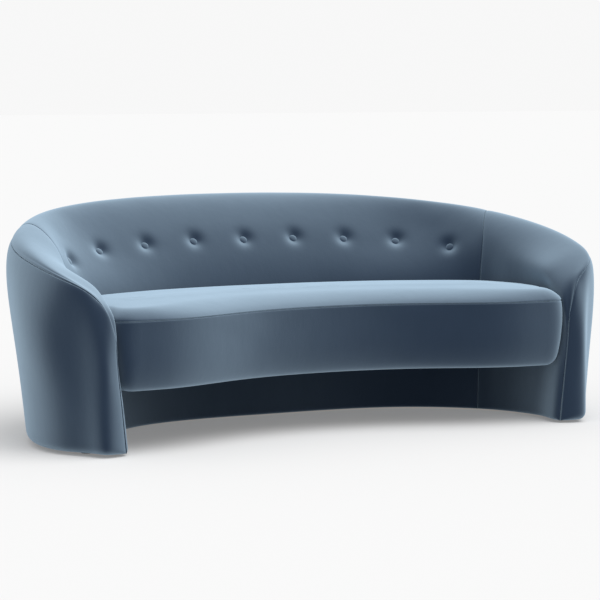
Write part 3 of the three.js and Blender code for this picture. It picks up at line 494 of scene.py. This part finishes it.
def guideTable(shares):
    left = np.array(shares, dtype=float)
    left = np.stack(
        [
            -left[:, 0] * shell["width"] / 2,
            (left[:, 1] - 0.5) * shell["depth"],
            np.maximum(shell["floorGap"], left[:, 2] * shell["height"]),
        ],
        axis=1,
    )
    right = left[:-1][::-1] * np.array([-1.0, 1.0, 1.0])
    return np.concatenate([left, right])


def runningTotal(steps):
    return np.concatenate([[0.0], np.cumsum(steps)])


tables = [guideTable(shares) for shares in shell["guideShares"].values()]
stationSteps = np.mean(
    [np.linalg.norm(np.diff(table, axis=0), axis=1) for table in tables[::3]], axis=0
)
stationRun = runningTotal(stationSteps)
shellRun = stationRun[-1]
stationKnots = stationRun / shellRun
tableBends = [splineBends(stationKnots, table) for table in tables]


# One upright cut through the shell, at a share of its run from the left tip to the right
def sectionAt(along):
    g = [splineAt(stationKnots, t, b, along) for t, b in zip(tables, tableBends)]
    controls = np.array([g[0], (g[0] + g[1]) / 2, *g[1:6], (g[5] + g[6]) / 2, g[6]])
    knots = runningTotal(np.sqrt(np.linalg.norm(np.diff(controls, axis=0), axis=1)))
    return knots, controls, splineBends(knots, controls)


def sectionPoints(section, rows):
    knots, controls, bends = section
    rows = np.asarray(rows, dtype=float)
    i = np.minimum(np.floor(rows).astype(int), rowOf["floorOut"] - 1)
    return splineAt(knots, controls, bends, knots[i] + (knots[i + 1] - knots[i]) * (rows - i))


def smoothStep(value, low, high):
    share = np.clip((value - low) / (high - low), 0.0, 1.0)
    return share * share * (3 - 2 * share)


# Points halfway between the inner and the outer face
def spinePoints(section, rows):
    last = rowOf["floorOut"]
    over = np.maximum(rows, rowOf["bulge"])
    partner = np.where(over > last - 1, last - over, 1 + 2 * (last - 1 - over))
    inner = np.where(rows < rowOf["crest"], np.minimum(rows, rowOf["shoulder"]), partner)
    outer = np.where(inner < 1, last - inner, last - 1 - (inner - 1) / 2)
    return (sectionPoints(section, inner) + sectionPoints(section, outer)) / 2


# Outward normals of a grid of points, and below the same without their slope
def gridNormals(points):
    alongStep = np.gradient(points, axis=0)
    rowStep = np.gradient(points, axis=1)
    normals = np.cross(alongStep, rowStep)
    return normals / np.maximum(np.linalg.norm(normals, axis=2, keepdims=True), tiny)


def flatNormals(normals):
    level = normals.copy()
    level[..., 2] = 0.0
    return level / np.maximum(np.linalg.norm(level, axis=-1, keepdims=True), tiny)


def rowsAtLengths(section, fromRow, toRow, placeLengths):
    dense = np.linspace(fromRow, toRow, shell["sectionSteps"])
    points = sectionPoints(section, dense)
    run = runningTotal(np.linalg.norm(np.diff(points, axis=0), axis=1))
    return np.interp(placeLengths(run[-1]), run, dense)


def placesBetween(length, startEdge, endEdge, count):
    middle = np.linspace(startEdge[-1], length - endEdge[-1], count + 2)[1:-1]
    return np.concatenate([startEdge, middle, length - np.array(endEdge[::-1])])


seam = {
    "edge": [0.0, 0.0005, 0.0013, 0.0024, 0.0036, 0.006, 0.0095, 0.013, 0.0175],
    "floorEdge": [0.0, 0.002, 0.005, 0.009, 0.014, 0.02, 0.027],
    "roll": 0.0034,
    "pull": 0.0022,
    "pullReach": 0.011,
    "gap": 0.0003,  # between two covers along the shell
    "rowGap": 0.005,  # and across it, in rows
    "depth": 0.016,  # how far the cover turns in at a seam
    "hemDepth": 0.036,  # and at the floor
    "turnShares": (0.35, 1.0),
    "foldPlace": 0.013,
    "foldWidth": 0.003,
    "foldDepth": 0.003,
    "foldFrom": 0.09,
    "foldTo": 0.17,
}


# A rolled edge with a softer pull beside it
def edgeFall(distance):
    inside = np.clip(seam["roll"] - distance, 0.0, seam["roll"])
    roll = seam["roll"] - np.sqrt(seam["roll"] ** 2 - inside**2)
    return roll + seam["pull"] * np.exp(-distance / seam["pullReach"])


def alongRun():
    dense = np.linspace(0.0, 1.0, shell["alongSteps"])
    row = np.array([rowOf["shoulder"]])
    points = np.array([sectionPoints(sectionAt(a), row)[0] for a in dense])
    return dense, runningTotal(np.linalg.norm(np.diff(points, axis=0), axis=1))


alongDense, shoulderRun = alongRun()
leftJoin = stationKnots[shell["joinStation"]]
joins = {"left": leftJoin, "right": 1 - leftJoin}


def alongsBetween(low, high, startEdge, endEdge, pitch):
    start = np.interp(low, alongDense, shoulderRun)
    end = np.interp(high, alongDense, shoulderRun)
    count = int(round((end - start) / pitch))
    places = start + placesBetween(end - start, startEdge, endEdge, count)
    return np.interp(places, shoulderRun, alongDense)


# Draws the faces in where they turn under at the floor
def hemmed(points, normals, sections, rows):
    level = flatNormals(normals)
    out = points.copy()
    for i, section in enumerate(sections):
        reach = np.linalg.norm(spinePoints(section, rows[i]) - points[i], axis=1)
        full = np.where(rows[i] < rowOf["crest"], shell["innerHem"], shell["outerHem"])
        radius = np.minimum(full, shell["tipHemShare"] * reach)
        under = np.clip(radius - (points[i][:, 2] - shell["floorGap"]), 0.0, radius)
        tuck = radius - np.sqrt(np.maximum(radius**2 - under**2, 0.0))
        out[i] -= level[i] * tuck[:, None]
    return out


def borderDistance(points, sides):
    distance = np.full(points.shape[:2], 1.0)
    alongSteps = np.diff(points, axis=0, prepend=points[:1])
    rowSteps = np.diff(points, axis=1, prepend=points[:, :1])
    alongRuns = np.cumsum(np.linalg.norm(alongSteps, axis=2), axis=0)
    rowRuns = np.cumsum(np.linalg.norm(rowSteps, axis=2), axis=1)
    if "alongStart" in sides:
        distance = np.minimum(distance, alongRuns)
    if "alongEnd" in sides:
        distance = np.minimum(distance, alongRuns[-1:] - alongRuns)
    if "rowStart" in sides:
        distance = np.minimum(distance, rowRuns)
    if "rowEnd" in sides:
        distance = np.minimum(distance, rowRuns[:, -1:] - rowRuns)
    return distance


def makeCover(name, vertices, faces):
    mesh = bpy.data.meshes.new(name)
    mesh.from_pydata([tuple(v) for v in vertices], [], faces)
    mesh.update()
    piece = bpy.data.objects.new(name, mesh)
    scene.collection.objects.link(piece)
    mesh.materials.append(materials["velvet"])
    for polygon in mesh.polygons:
        polygon.use_smooth = True
    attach(piece, "root")
    return piece


def panelFaces(columns, rows):
    index = np.arange(columns * rows).reshape(columns, rows)
    quads = np.stack([index[:-1, :-1], index[1:, :-1], index[1:, 1:], index[:-1, 1:]], axis=-1)
    return index, [tuple(int(v) for v in quad) for quad in quads.reshape(-1, 4)]


def borderLoop(index):
    return np.concatenate([index[:, 0], index[-1, 1:], index[:-1, -1][::-1], index[0, 1:-1][::-1]])


# A face with a skirt round its border that turns in towards the middle of the shell
def makePanel(name, face, sections, rows, floorSide):
    columns, count = face.shape[:2]
    index, faces = panelFaces(columns, count)
    loop = borderLoop(index)
    vertices = [face.reshape(-1, 3)]
    previous = loop
    total = columns * count
    onFloor = np.zeros((columns, count), dtype=bool)
    onFloor[:, 0 if floorSide == "rowStart" else -1] = True
    for share in seam["turnShares"]:
        depth = np.where(onFloor.ravel()[loop], seam["hemDepth"], seam["depth"]) * share
        moved = np.empty((len(loop), 3))
        for k, vertex in enumerate(loop):
            i, j = divmod(int(vertex), count)
            point = face[i, j]
            inward = spinePoints(sections[i], rows[i][j : j + 1])[0] - point
            if onFloor[i, j]:
                inward[2] = 0.0
            reach = max(np.linalg.norm(inward), tiny)
            moved[k] = point + inward * min(depth[k], shell["spineReachShare"] * reach) / reach
        vertices.append(moved)
        fresh = np.arange(total, total + len(loop))
        for k in range(len(loop)):
            n = (k + 1) % len(loop)
            faces.append((int(previous[k]), int(fresh[k]), int(fresh[n]), int(previous[n])))
        previous = fresh
        total += len(loop)
    return makeCover(name, np.concatenate(vertices), faces)


# The row of buttons, and the dimples that they pull into the back

buttonRow = {
    "heightShares": [0.797, 0.797, 0.788, 0.774, 0.747],  # from the middle one outwards
    "spacing": 0.187,
    "diameter": 0.030,
    "depth": 0.015,
    "sunk": 0.0022,
    "floor": 0.0125,
    "reach": 0.075,
    "fade": 3.8,
    "searchSteps": 4000,
    "lineSteps": 241,
    "probeStep": 0.0015,
}


def rowAtHeight(section, height):
    rows = np.linspace(0.0, rowOf["crest"], buttonRow["searchSteps"])
    return float(np.interp(height, sectionPoints(section, rows)[:, 2], rows))


def placeButtons():
    sample = np.linspace(joins["left"], joins["right"], buttonRow["lineSteps"])
    middleHeight = buttonRow["heightShares"][0] * shell["height"]
    points = []
    for along in sample:
        section = sectionAt(along)
        points.append(sectionPoints(section, np.array([rowAtHeight(section, middleHeight)]))[0])
    run = runningTotal(np.linalg.norm(np.diff(points, axis=0), axis=1))
    half = len(buttonRow["heightShares"]) - 1
    placed = []
    for k in range(-half, half + 1):
        along = float(np.interp(run[-1] / 2 + k * buttonRow["spacing"], run, sample))
        section = sectionAt(along)
        row = rowAtHeight(section, buttonRow["heightShares"][abs(k)] * shell["height"])
        step = buttonRow["probeStep"]
        here = sectionPoints(section, np.array([row - step, row, row + step]))
        ahead = sectionPoints(sectionAt(along + step), np.array([row]))[0]
        behind = sectionPoints(sectionAt(along - step), np.array([row]))[0]
        normal = np.cross(ahead - behind, here[2] - here[0])
        placed.append({"surface": here[1], "normal": normal / np.linalg.norm(normal)})
    return placed


buttons = placeButtons()


def dimpleDepths(points, border, alongs):
    nearest = np.full(points.shape[:2], 1.0)
    for button in buttons:
        nearest = np.minimum(nearest, np.linalg.norm(points - button["surface"], axis=2))
    width = buttonRow["reach"] - buttonRow["floor"]
    share = 1 - np.clip((nearest - buttonRow["floor"]) / width, 0.0, 1.0)
    return buttonRow["depth"] * share ** buttonRow["fade"]


# The thin fold inside the rim seam, near the left arm's tip
def foldDepths(points, border, alongs):
    line = np.exp(-(((border - seam["foldPlace"]) / seam["foldWidth"]) ** 2))
    near = 1 - smoothStep(alongs, seam["foldFrom"], seam["foldTo"])
    return seam["foldDepth"] * line * near[:, None]


def noShape(points, border, alongs):
    return np.zeros(points.shape[:2])


# Covers swell as cloth over their padding, held at seams, at the floor and under the buttons

cloth = {
    "lastFrame": 14,
    "quality": 4,
    "pressure": 4.0,
    "mass": 0.4,
    "tension": 30.0,
    "shear": 15.0,
    "bending": 15.0,
    "cap": 0.0022,  # no point moves further
    "easing": 24,
    "seamBand": 0.014,
    "floorBand": 0.06,
    "heldShare": 0.9,
}


# Evens the movement out between neighbouring points
def eased(piece, moved, pinned):
    edges = np.empty(len(piece.data.edges) * 2, dtype=int)
    piece.data.edges.foreach_get("vertices", edges)
    edges = edges.reshape(-1, 2)
    ends = np.concatenate([edges[:, 0], edges[:, 1]])
    others = np.concatenate([edges[:, 1], edges[:, 0]])
    counts = np.bincount(ends, minlength=len(moved))[:, None]
    for _ in range(cloth["easing"]):
        sums = [np.bincount(ends, weights=moved[others, k], minlength=len(moved)) for k in range(3)]
        moved = (moved + np.stack(sums, axis=1) / np.maximum(counts, 1)) / 2
        moved[pinned] = 0.0
    return moved


def swell(piece, pinned):
    group = piece.vertex_groups.new(name="pinned")
    group.add([int(k) for k in pinned], 1.0, "REPLACE")
    modifier = piece.modifiers.new("cloth", "CLOTH")
    settings = modifier.settings
    settings.quality = cloth["quality"]
    settings.mass = cloth["mass"]
    settings.tension_stiffness = cloth["tension"]
    settings.compression_stiffness = cloth["tension"]
    settings.shear_stiffness = cloth["shear"]
    settings.bending_stiffness = cloth["bending"]
    settings.use_pressure = True
    settings.uniform_pressure_force = cloth["pressure"]
    settings.effector_weights.gravity = 0.0
    settings.vertex_group_mass = "pinned"
    modifier.collision_settings.use_collision = False
    modifier.point_cache.frame_end = cloth["lastFrame"]
    for step in range(1, cloth["lastFrame"] + 1):
        scene.frame_set(step)
    settled = piece.evaluated_get(bpy.context.evaluated_depsgraph_get()).data
    before = np.array([v.co[:] for v in piece.data.vertices])
    moved = np.array([v.co[:] for v in settled.vertices]) - before
    length = np.linalg.norm(moved, axis=1, keepdims=True)
    moved *= cloth["cap"] * np.tanh(length / cloth["cap"]) / np.maximum(length, tiny)
    moved = eased(piece, moved, pinned)
    print(piece.name, "swells by up to", round(float(np.linalg.norm(moved, axis=1).max()), 4))
    piece.modifiers.remove(modifier)
    piece.data.vertices.foreach_set("co", (before + moved).ravel())
    piece.data.update()
    scene.frame_set(1)


def addSmoothing(piece):
    modifier = piece.modifiers.new("smooth", "SUBSURF")
    modifier.levels = 1
    modifier.render_levels = 1


def finishCover(piece, node):
    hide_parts(node)
    addSmoothing(piece)


# The pads and panels of the shell, in the order left, back, right

innerPads = {
    "names": ("inner_arm_pad_left", "inner_back_pad", "inner_arm_pad_right"),
    "shapes": (foldDepths, dimpleDepths, noShape),
    "fromRow": 0.0,
    "toRow": rowOf["rimSeam"] - seam["rowGap"],
    "edges": ("floorEdge", "edge"),
    "middleRows": 74,
    "pitch": 0.011,
    "seams": ("alongStart", "alongEnd", "rowEnd"),
    "floorSide": "rowStart",
    "fill": 0.75,
}
outerPanels = {
    "names": ("outer_arm_panel_left", "outer_back_panel", "outer_arm_panel_right"),
    "shapes": (noShape, noShape, noShape),
    "fromRow": rowOf["rimSeam"] + seam["rowGap"],
    "toRow": rowOf["floorOut"],
    "edges": ("edge", "floorEdge"),
    "middleRows": 52,
    "pitch": 0.014,
    "seams": ("alongStart", "alongEnd", "rowStart"),
    "floorSide": "rowEnd",
    "fill": 0.7,
}


def makeShellPiece(kind, label, low, high, shape):
    startEdge, endEdge = (seam[edge] for edge in kind["edges"])
    alongs = alongsBetween(low, high, seam["edge"], seam["edge"], kind["pitch"])
    sections = [sectionAt(a) for a in alongs]

    def rowPlaces(length):
        return placesBetween(length, startEdge, endEdge, kind["middleRows"])

    rows = [rowsAtLengths(s, kind["fromRow"], kind["toRow"], rowPlaces) for s in sections]
    points = np.array([sectionPoints(s, r) for s, r in zip(sections, rows)])
    normals = gridNormals(points)
    border = borderDistance(points, kind["seams"])
    depths = shape(points, border, alongs)
    fall = edgeFall(border) + depths
    face = hemmed(points, normals, sections, rows) - normals * fall[..., None]
    face[..., 2] = np.maximum(face[..., 2], shell["floorGap"])
    piece = makePanel(label + "_velvet", face, sections, rows, kind["floorSide"])
    nearFloor = points[..., 2] < cloth["floorBand"]
    held = depths > buttonRow["depth"] * cloth["heldShare"]
    skirt = np.arange(points[..., 0].size, len(piece.data.vertices))
    pinned = np.flatnonzero(((border < cloth["seamBand"]) | nearFloor | held).ravel())
    swell(piece, np.concatenate([pinned, skirt]))
    finishCover(piece, label)


gapShare = seam["gap"] / shellRun
spans = (
    (0.0, joins["left"] - gapShare),
    (joins["left"] + gapShare, joins["right"] - gapShare),
    (joins["right"] + gapShare, 1.0),
)
for kind in (innerPads, outerPanels):
    for label, (low, high), shape in zip(kind["names"], spans, kind["shapes"]):
        makeShellPiece(kind, label, low, high, shape)
print("shell made")

# Covered buttons, turned round the wall's normal

buttonForm = {
    "stem": [(0.002, -0.005), (0.004, -0.005), (0.004, 0.0003)],  # radius and height
    "rim": [(0.0125, 0.0003), (0.0145, 0.0009)],
    "domeFoot": 0.0022,
    "dome": 0.0075,
    "domeShare": 0.72,
    "domePower": 0.8,
    "domeSteps": 8,
    "around": 40,
    "fill": 0.9,
}


def makeButton(number, button):
    form = buttonForm
    radius = buttonRow["diameter"] / 2
    profile = form["stem"] + form["rim"]
    for angle in np.linspace(0.0, math.pi / 2, form["domeSteps"]):
        height = form["domeFoot"] + form["dome"] * math.sin(angle) * form["domeShare"]
        profile.append((radius * math.cos(angle) ** form["domePower"], height))
    axis = Vector(button["normal"])
    turn = axis.to_track_quat("Z", "Y").to_matrix()
    foot = Vector(button["surface"]) - axis * (buttonRow["depth"] + buttonRow["sunk"])
    around = form["around"]
    vertices = []
    for r, h in profile[:-1]:
        for k in range(around):
            angle = 2 * math.pi * k / around
            vertices.append(foot + turn @ Vector((r * math.cos(angle), r * math.sin(angle), h)))
    rings = len(profile) - 1
    faces = []
    for i in range(rings - 1):
        for k in range(around):
            n = (k + 1) % around
            faces.append((i * around + k, i * around + n, (i + 1) * around + n, (i + 1) * around + k))
    top = len(vertices)
    vertices.append(foot + turn @ Vector((0, 0, profile[-1][1])))
    vertices.append(foot + turn @ Vector((0, 0, profile[0][1])))
    for k in range(around):
        n = (k + 1) % around
        faces.append(((rings - 1) * around + k, (rings - 1) * around + n, top))
        faces.append((n, k, top + 1))
    piece = makeCover(f"button_{number}_covered", vertices, faces)
    finishCover(piece, f"button_{number}")


for number, button in enumerate(buttons, 1):
    makeButton(number, button)
print("buttons made")

# Seat: rings from the underside's lip, up over the seam and in towards a spine

seat = {
    "top": 0.437,
    "underside": 0.188,
    "seamHeight": 0.400,
    "creaseDepth": 0.0042,
    "creaseShares": (-1.0, -0.6, -0.3, -0.1, 0.1, 0.3, 0.6, 1.0),
    "creasePower": 1.5,
    "creaseSideShare": 0.7,
    "seamHalf": 0.0034,
    "seamSlack": 0.00003,
    "lip": 0.008,
    "wall": 0.064,  # width of the padding round the underside
    "bottomRadius": 0.034,
    "bottomRise": 0.105,
    "bottomSteps": 15,
    "faceSteps": 14,
    "belly": 0.006,  # swell of the front face
    "crown": 0.009,
    "topRoll": 0.15,  # widths of the rounding at the top: the front
    "endRoll": 0.072,  # the ends
    "backRoll": 0.02,  # the back
    "endBlend": 0.09,
    "rollEase": 0.32,
    "rollPower": 0.65,
    "spineShare": 0.86,
    "spineMargin": 0.1,
    "capShare": 0.9,  # of the way to the spine, where one flat face closes the top
    "topSteps": 36,
    "backGap": 0.003,
    "endGap": 0.002,
    "heldBand": 0.012,
    "cornerRun": 0.105,
    "cornerFullness": 0.72,
    "cornerSteps": 14,
    "frontReach": 0.728,
    "frontSteps": 121,
    "sideSteps": 221,
    "profileSteps": 400,
    "fill": 0.85,
    "frontShares": [  # shares of the half width and of the depth
        [0, 0.192], [0.15, 0.182], [0.3, 0.149], [0.4, 0.112],
        [0.5, 0.073], [0.6, 0.046], [0.715, 0.037],
    ],
}


def frontCurve():
    points = np.array(seat["frontShares"])
    half = np.stack([points[:, 0] * shell["width"] / 2, (points[:, 1] - 0.5) * shell["depth"]], axis=1)
    whole = np.concatenate([half[1:][::-1] * np.array([-1.0, 1.0]), half])
    bends = splineBends(whole[:, 0], whole[:, 1])
    return lambda x: splineAt(whole[:, 0], whole[:, 1], bends, x)


seatFront = frontCurve()
seatStart = seat["cornerRun"] / shellRun
seatAlongs = np.linspace(seatStart, 1 - seatStart, seat["sideSteps"])
seatSections = [sectionAt(a) for a in seatAlongs]
profileRows = np.linspace(0.0, rowOf["shoulder"], seat["profileSteps"])
seatProfiles = [sectionPoints(s, profileRows) for s in seatSections]
frontX = np.linspace(seat["frontReach"], -seat["frontReach"], seat["frontSteps"])


# A level line moved sideways, towards the middle of the seat
def drawnIn(line, inset):
    run = np.gradient(line, axis=0)
    run /= np.linalg.norm(run, axis=1, keepdims=True)
    return line + np.stack([run[:, 1], -run[:, 0]], axis=1) * np.asarray(inset)[..., None]


# Where the seat meets the arms and the back at one height
def sideLine(height):
    points = [[np.interp(height, p[:, 2], p[:, k]) for k in (0, 1)] for p in seatProfiles]
    edge = np.minimum(seatAlongs, 1 - seatAlongs)
    ease = smoothStep(edge, seatStart, joins["left"])
    gap = seat["endGap"] + (seat["backGap"] - seat["endGap"]) * ease
    return drawnIn(np.array(points), gap)


def cornerArc(start, end, pivot, steps):
    angles = np.linspace(0.0, math.pi / 2, steps + 2)[1:-1, None]
    fullness = seat["cornerFullness"]
    fromStart = (start - pivot) * (1 - np.sin(angles) ** fullness)
    return pivot + fromStart + (end - pivot) * (1 - np.cos(angles) ** fullness)


def seatRing(height, sideInset, frontInset):
    side = drawnIn(sideLine(height), np.full(len(seatAlongs), sideInset))
    front = drawnIn(np.stack([frontX, seatFront(frontX)], axis=1), np.full(len(frontX), frontInset))
    rightPivot = np.array([side[-1][0], front[0][1]])
    leftPivot = np.array([side[0][0], front[-1][1]])
    ring = np.concatenate(
        [
            side,
            cornerArc(side[-1], front[0], rightPivot, seat["cornerSteps"]),
            front,
            cornerArc(front[-1], side[0], leftPivot, seat["cornerSteps"]),
        ]
    )
    return np.concatenate([ring, np.full((len(ring), 1), height)], axis=1)


# Each point of the ring has its place on a line midway between front and back
def spineTargets(ring):
    reach = seat["frontReach"] * seat["spineShare"]
    x = np.clip(ring[:, 0], -reach, reach)
    back = ring[: len(seatAlongs)]
    back = back[np.abs(back[:, 0]) < seat["frontReach"]]
    back = back[back[:, 1] > seatFront(back[:, 0]) + seat["spineMargin"]]
    y = (seatFront(x) + np.interp(x, back[:, 0], back[:, 1])) / 2
    return np.stack([x, y], axis=1)


def rollWidths():
    edge = np.minimum(seatAlongs, 1 - seatAlongs) - seatStart
    blend = 1 - smoothStep(edge, 0.0, seat["endBlend"])
    side = seat["backRoll"] + (seat["endRoll"] - seat["backRoll"]) * blend
    inside = smoothStep(seat["frontReach"] - np.abs(frontX), 0.0, seat["rollEase"])
    front = seat["endRoll"] + (seat["topRoll"] - seat["endRoll"]) * inside
    corner = np.full(seat["cornerSteps"], seat["endRoll"])
    return np.concatenate([side, corner, front, corner])


def topRings(edge):
    targets = spineTargets(edge)
    reach = np.linalg.norm(targets - edge[:, :2], axis=1)
    widths = rollWidths()
    rise = seat["top"] - edge[0][2]
    rings = []
    steps = seat["topSteps"]
    for share in seat["capShare"] * (np.arange(1, steps + 1) / steps) ** 2:
        rolled = np.clip(share / seat["capShare"] * reach / np.minimum(widths, reach), 0.0, 1.0)
        ring = np.empty_like(edge)
        ring[:, :2] = edge[:, :2] + (targets - edge[:, :2]) * share
        crown = seat["crown"] * (1 - (1 - share) ** 2)
        ring[:, 2] = edge[0][2] + rise * np.sin(rolled * math.pi / 2) ** seat["rollPower"] + crown
        rings.append(ring)
    return rings


def seatRings():
    low, high = seat["underside"], seat["seamHeight"]
    rings = [seatRing(height, seat["wall"], seat["wall"]) for height in (low + seat["lip"], low)]
    for angle in np.linspace(0.0, math.pi / 2, seat["bottomSteps"]):
        inset = (seat["bottomRadius"] + seat["belly"]) * (1 - math.sin(angle)) - seat["belly"]
        lift = seat["bottomRise"] * (1 - math.cos(angle))
        left = 1 - min(lift / seat["bottomRadius"], 1.0)
        sideInset = seat["bottomRadius"] * (1 - math.sqrt(1 - left**2))
        rings.append(seatRing(low + lift, sideInset, inset))
    faceHeight = high - seat["seamHalf"] - low - seat["bottomRise"]
    for share in np.linspace(0.0, 1.0, seat["faceSteps"])[1:-1]:
        height = low + seat["bottomRise"] + faceHeight * share
        rings.append(seatRing(height, 0.0, -seat["belly"] * math.cos(math.pi * share / 2)))
    for share in seat["creaseShares"]:
        fall = seat["creaseDepth"] * (1 - abs(share)) ** seat["creasePower"]
        height = high + share * seat["seamHalf"]
        rings.append(seatRing(height, fall * seat["creaseSideShare"], fall))
    rings += topRings(rings[-1])
    return rings


def makeSeat():
    rings = seatRings()
    count = len(rings[0])
    faces = []
    for k in range(len(rings) - 1):
        for i in range(count):
            j = (i + 1) % count
            below, above = k * count, (k + 1) * count
            faces.append((below + i, below + j, above + j, above + i))
    last = (len(rings) - 1) * count
    for triangle in tessellate_polygon([[Vector(p) for p in rings[-1]]]):
        faces.append(tuple(last + k for k in triangle))
    vertices = np.concatenate(rings)
    piece = makeCover("seat_cushion_velvet", vertices, faces)
    heights = vertices[:, 2]
    onSeam = np.abs(heights - seat["seamHeight"]) <= seat["seamHalf"] + seat["seamSlack"]
    under = heights < seat["underside"] + seat["heldBand"]
    capEdge = np.arange(len(vertices)) >= last
    swell(piece, np.flatnonzero(onSeam | under | capEdge))
    finishCover(piece, "seat_cushion")


makeSeat()
print("seat made")

# Floor, with a weak glow of its own

floorLook = {
    "tone": 0.55,
    "glow": 0.19,
    "rough": 0.9,
    "reach": 60.0,
}


def makeFloor():
    material, shader = newMaterial("floor")
    shader.inputs["Base Color"].default_value = (floorLook["tone"],) * 3 + (1.0,)
    shader.inputs["Roughness"].default_value = floorLook["rough"]
    shader.inputs["Specular IOR Level"].default_value = 0.0
    shader.inputs["Emission Color"].default_value = (1.0, 1.0, 1.0, 1.0)
    shader.inputs["Emission Strength"].default_value = floorLook["glow"]
    half = floorLook["reach"]
    corners = [(-half, -half, 0), (half, -half, 0), (half, half, 0), (-half, half, 0)]
    mesh = bpy.data.meshes.new("floor")
    mesh.from_pydata(corners, [], [(0, 1, 2, 3)])
    mesh.materials.append(material)
    floor = bpy.data.objects.new("floor", mesh)
    scene.collection.objects.link(floor)


makeFloor()
print("floor made")
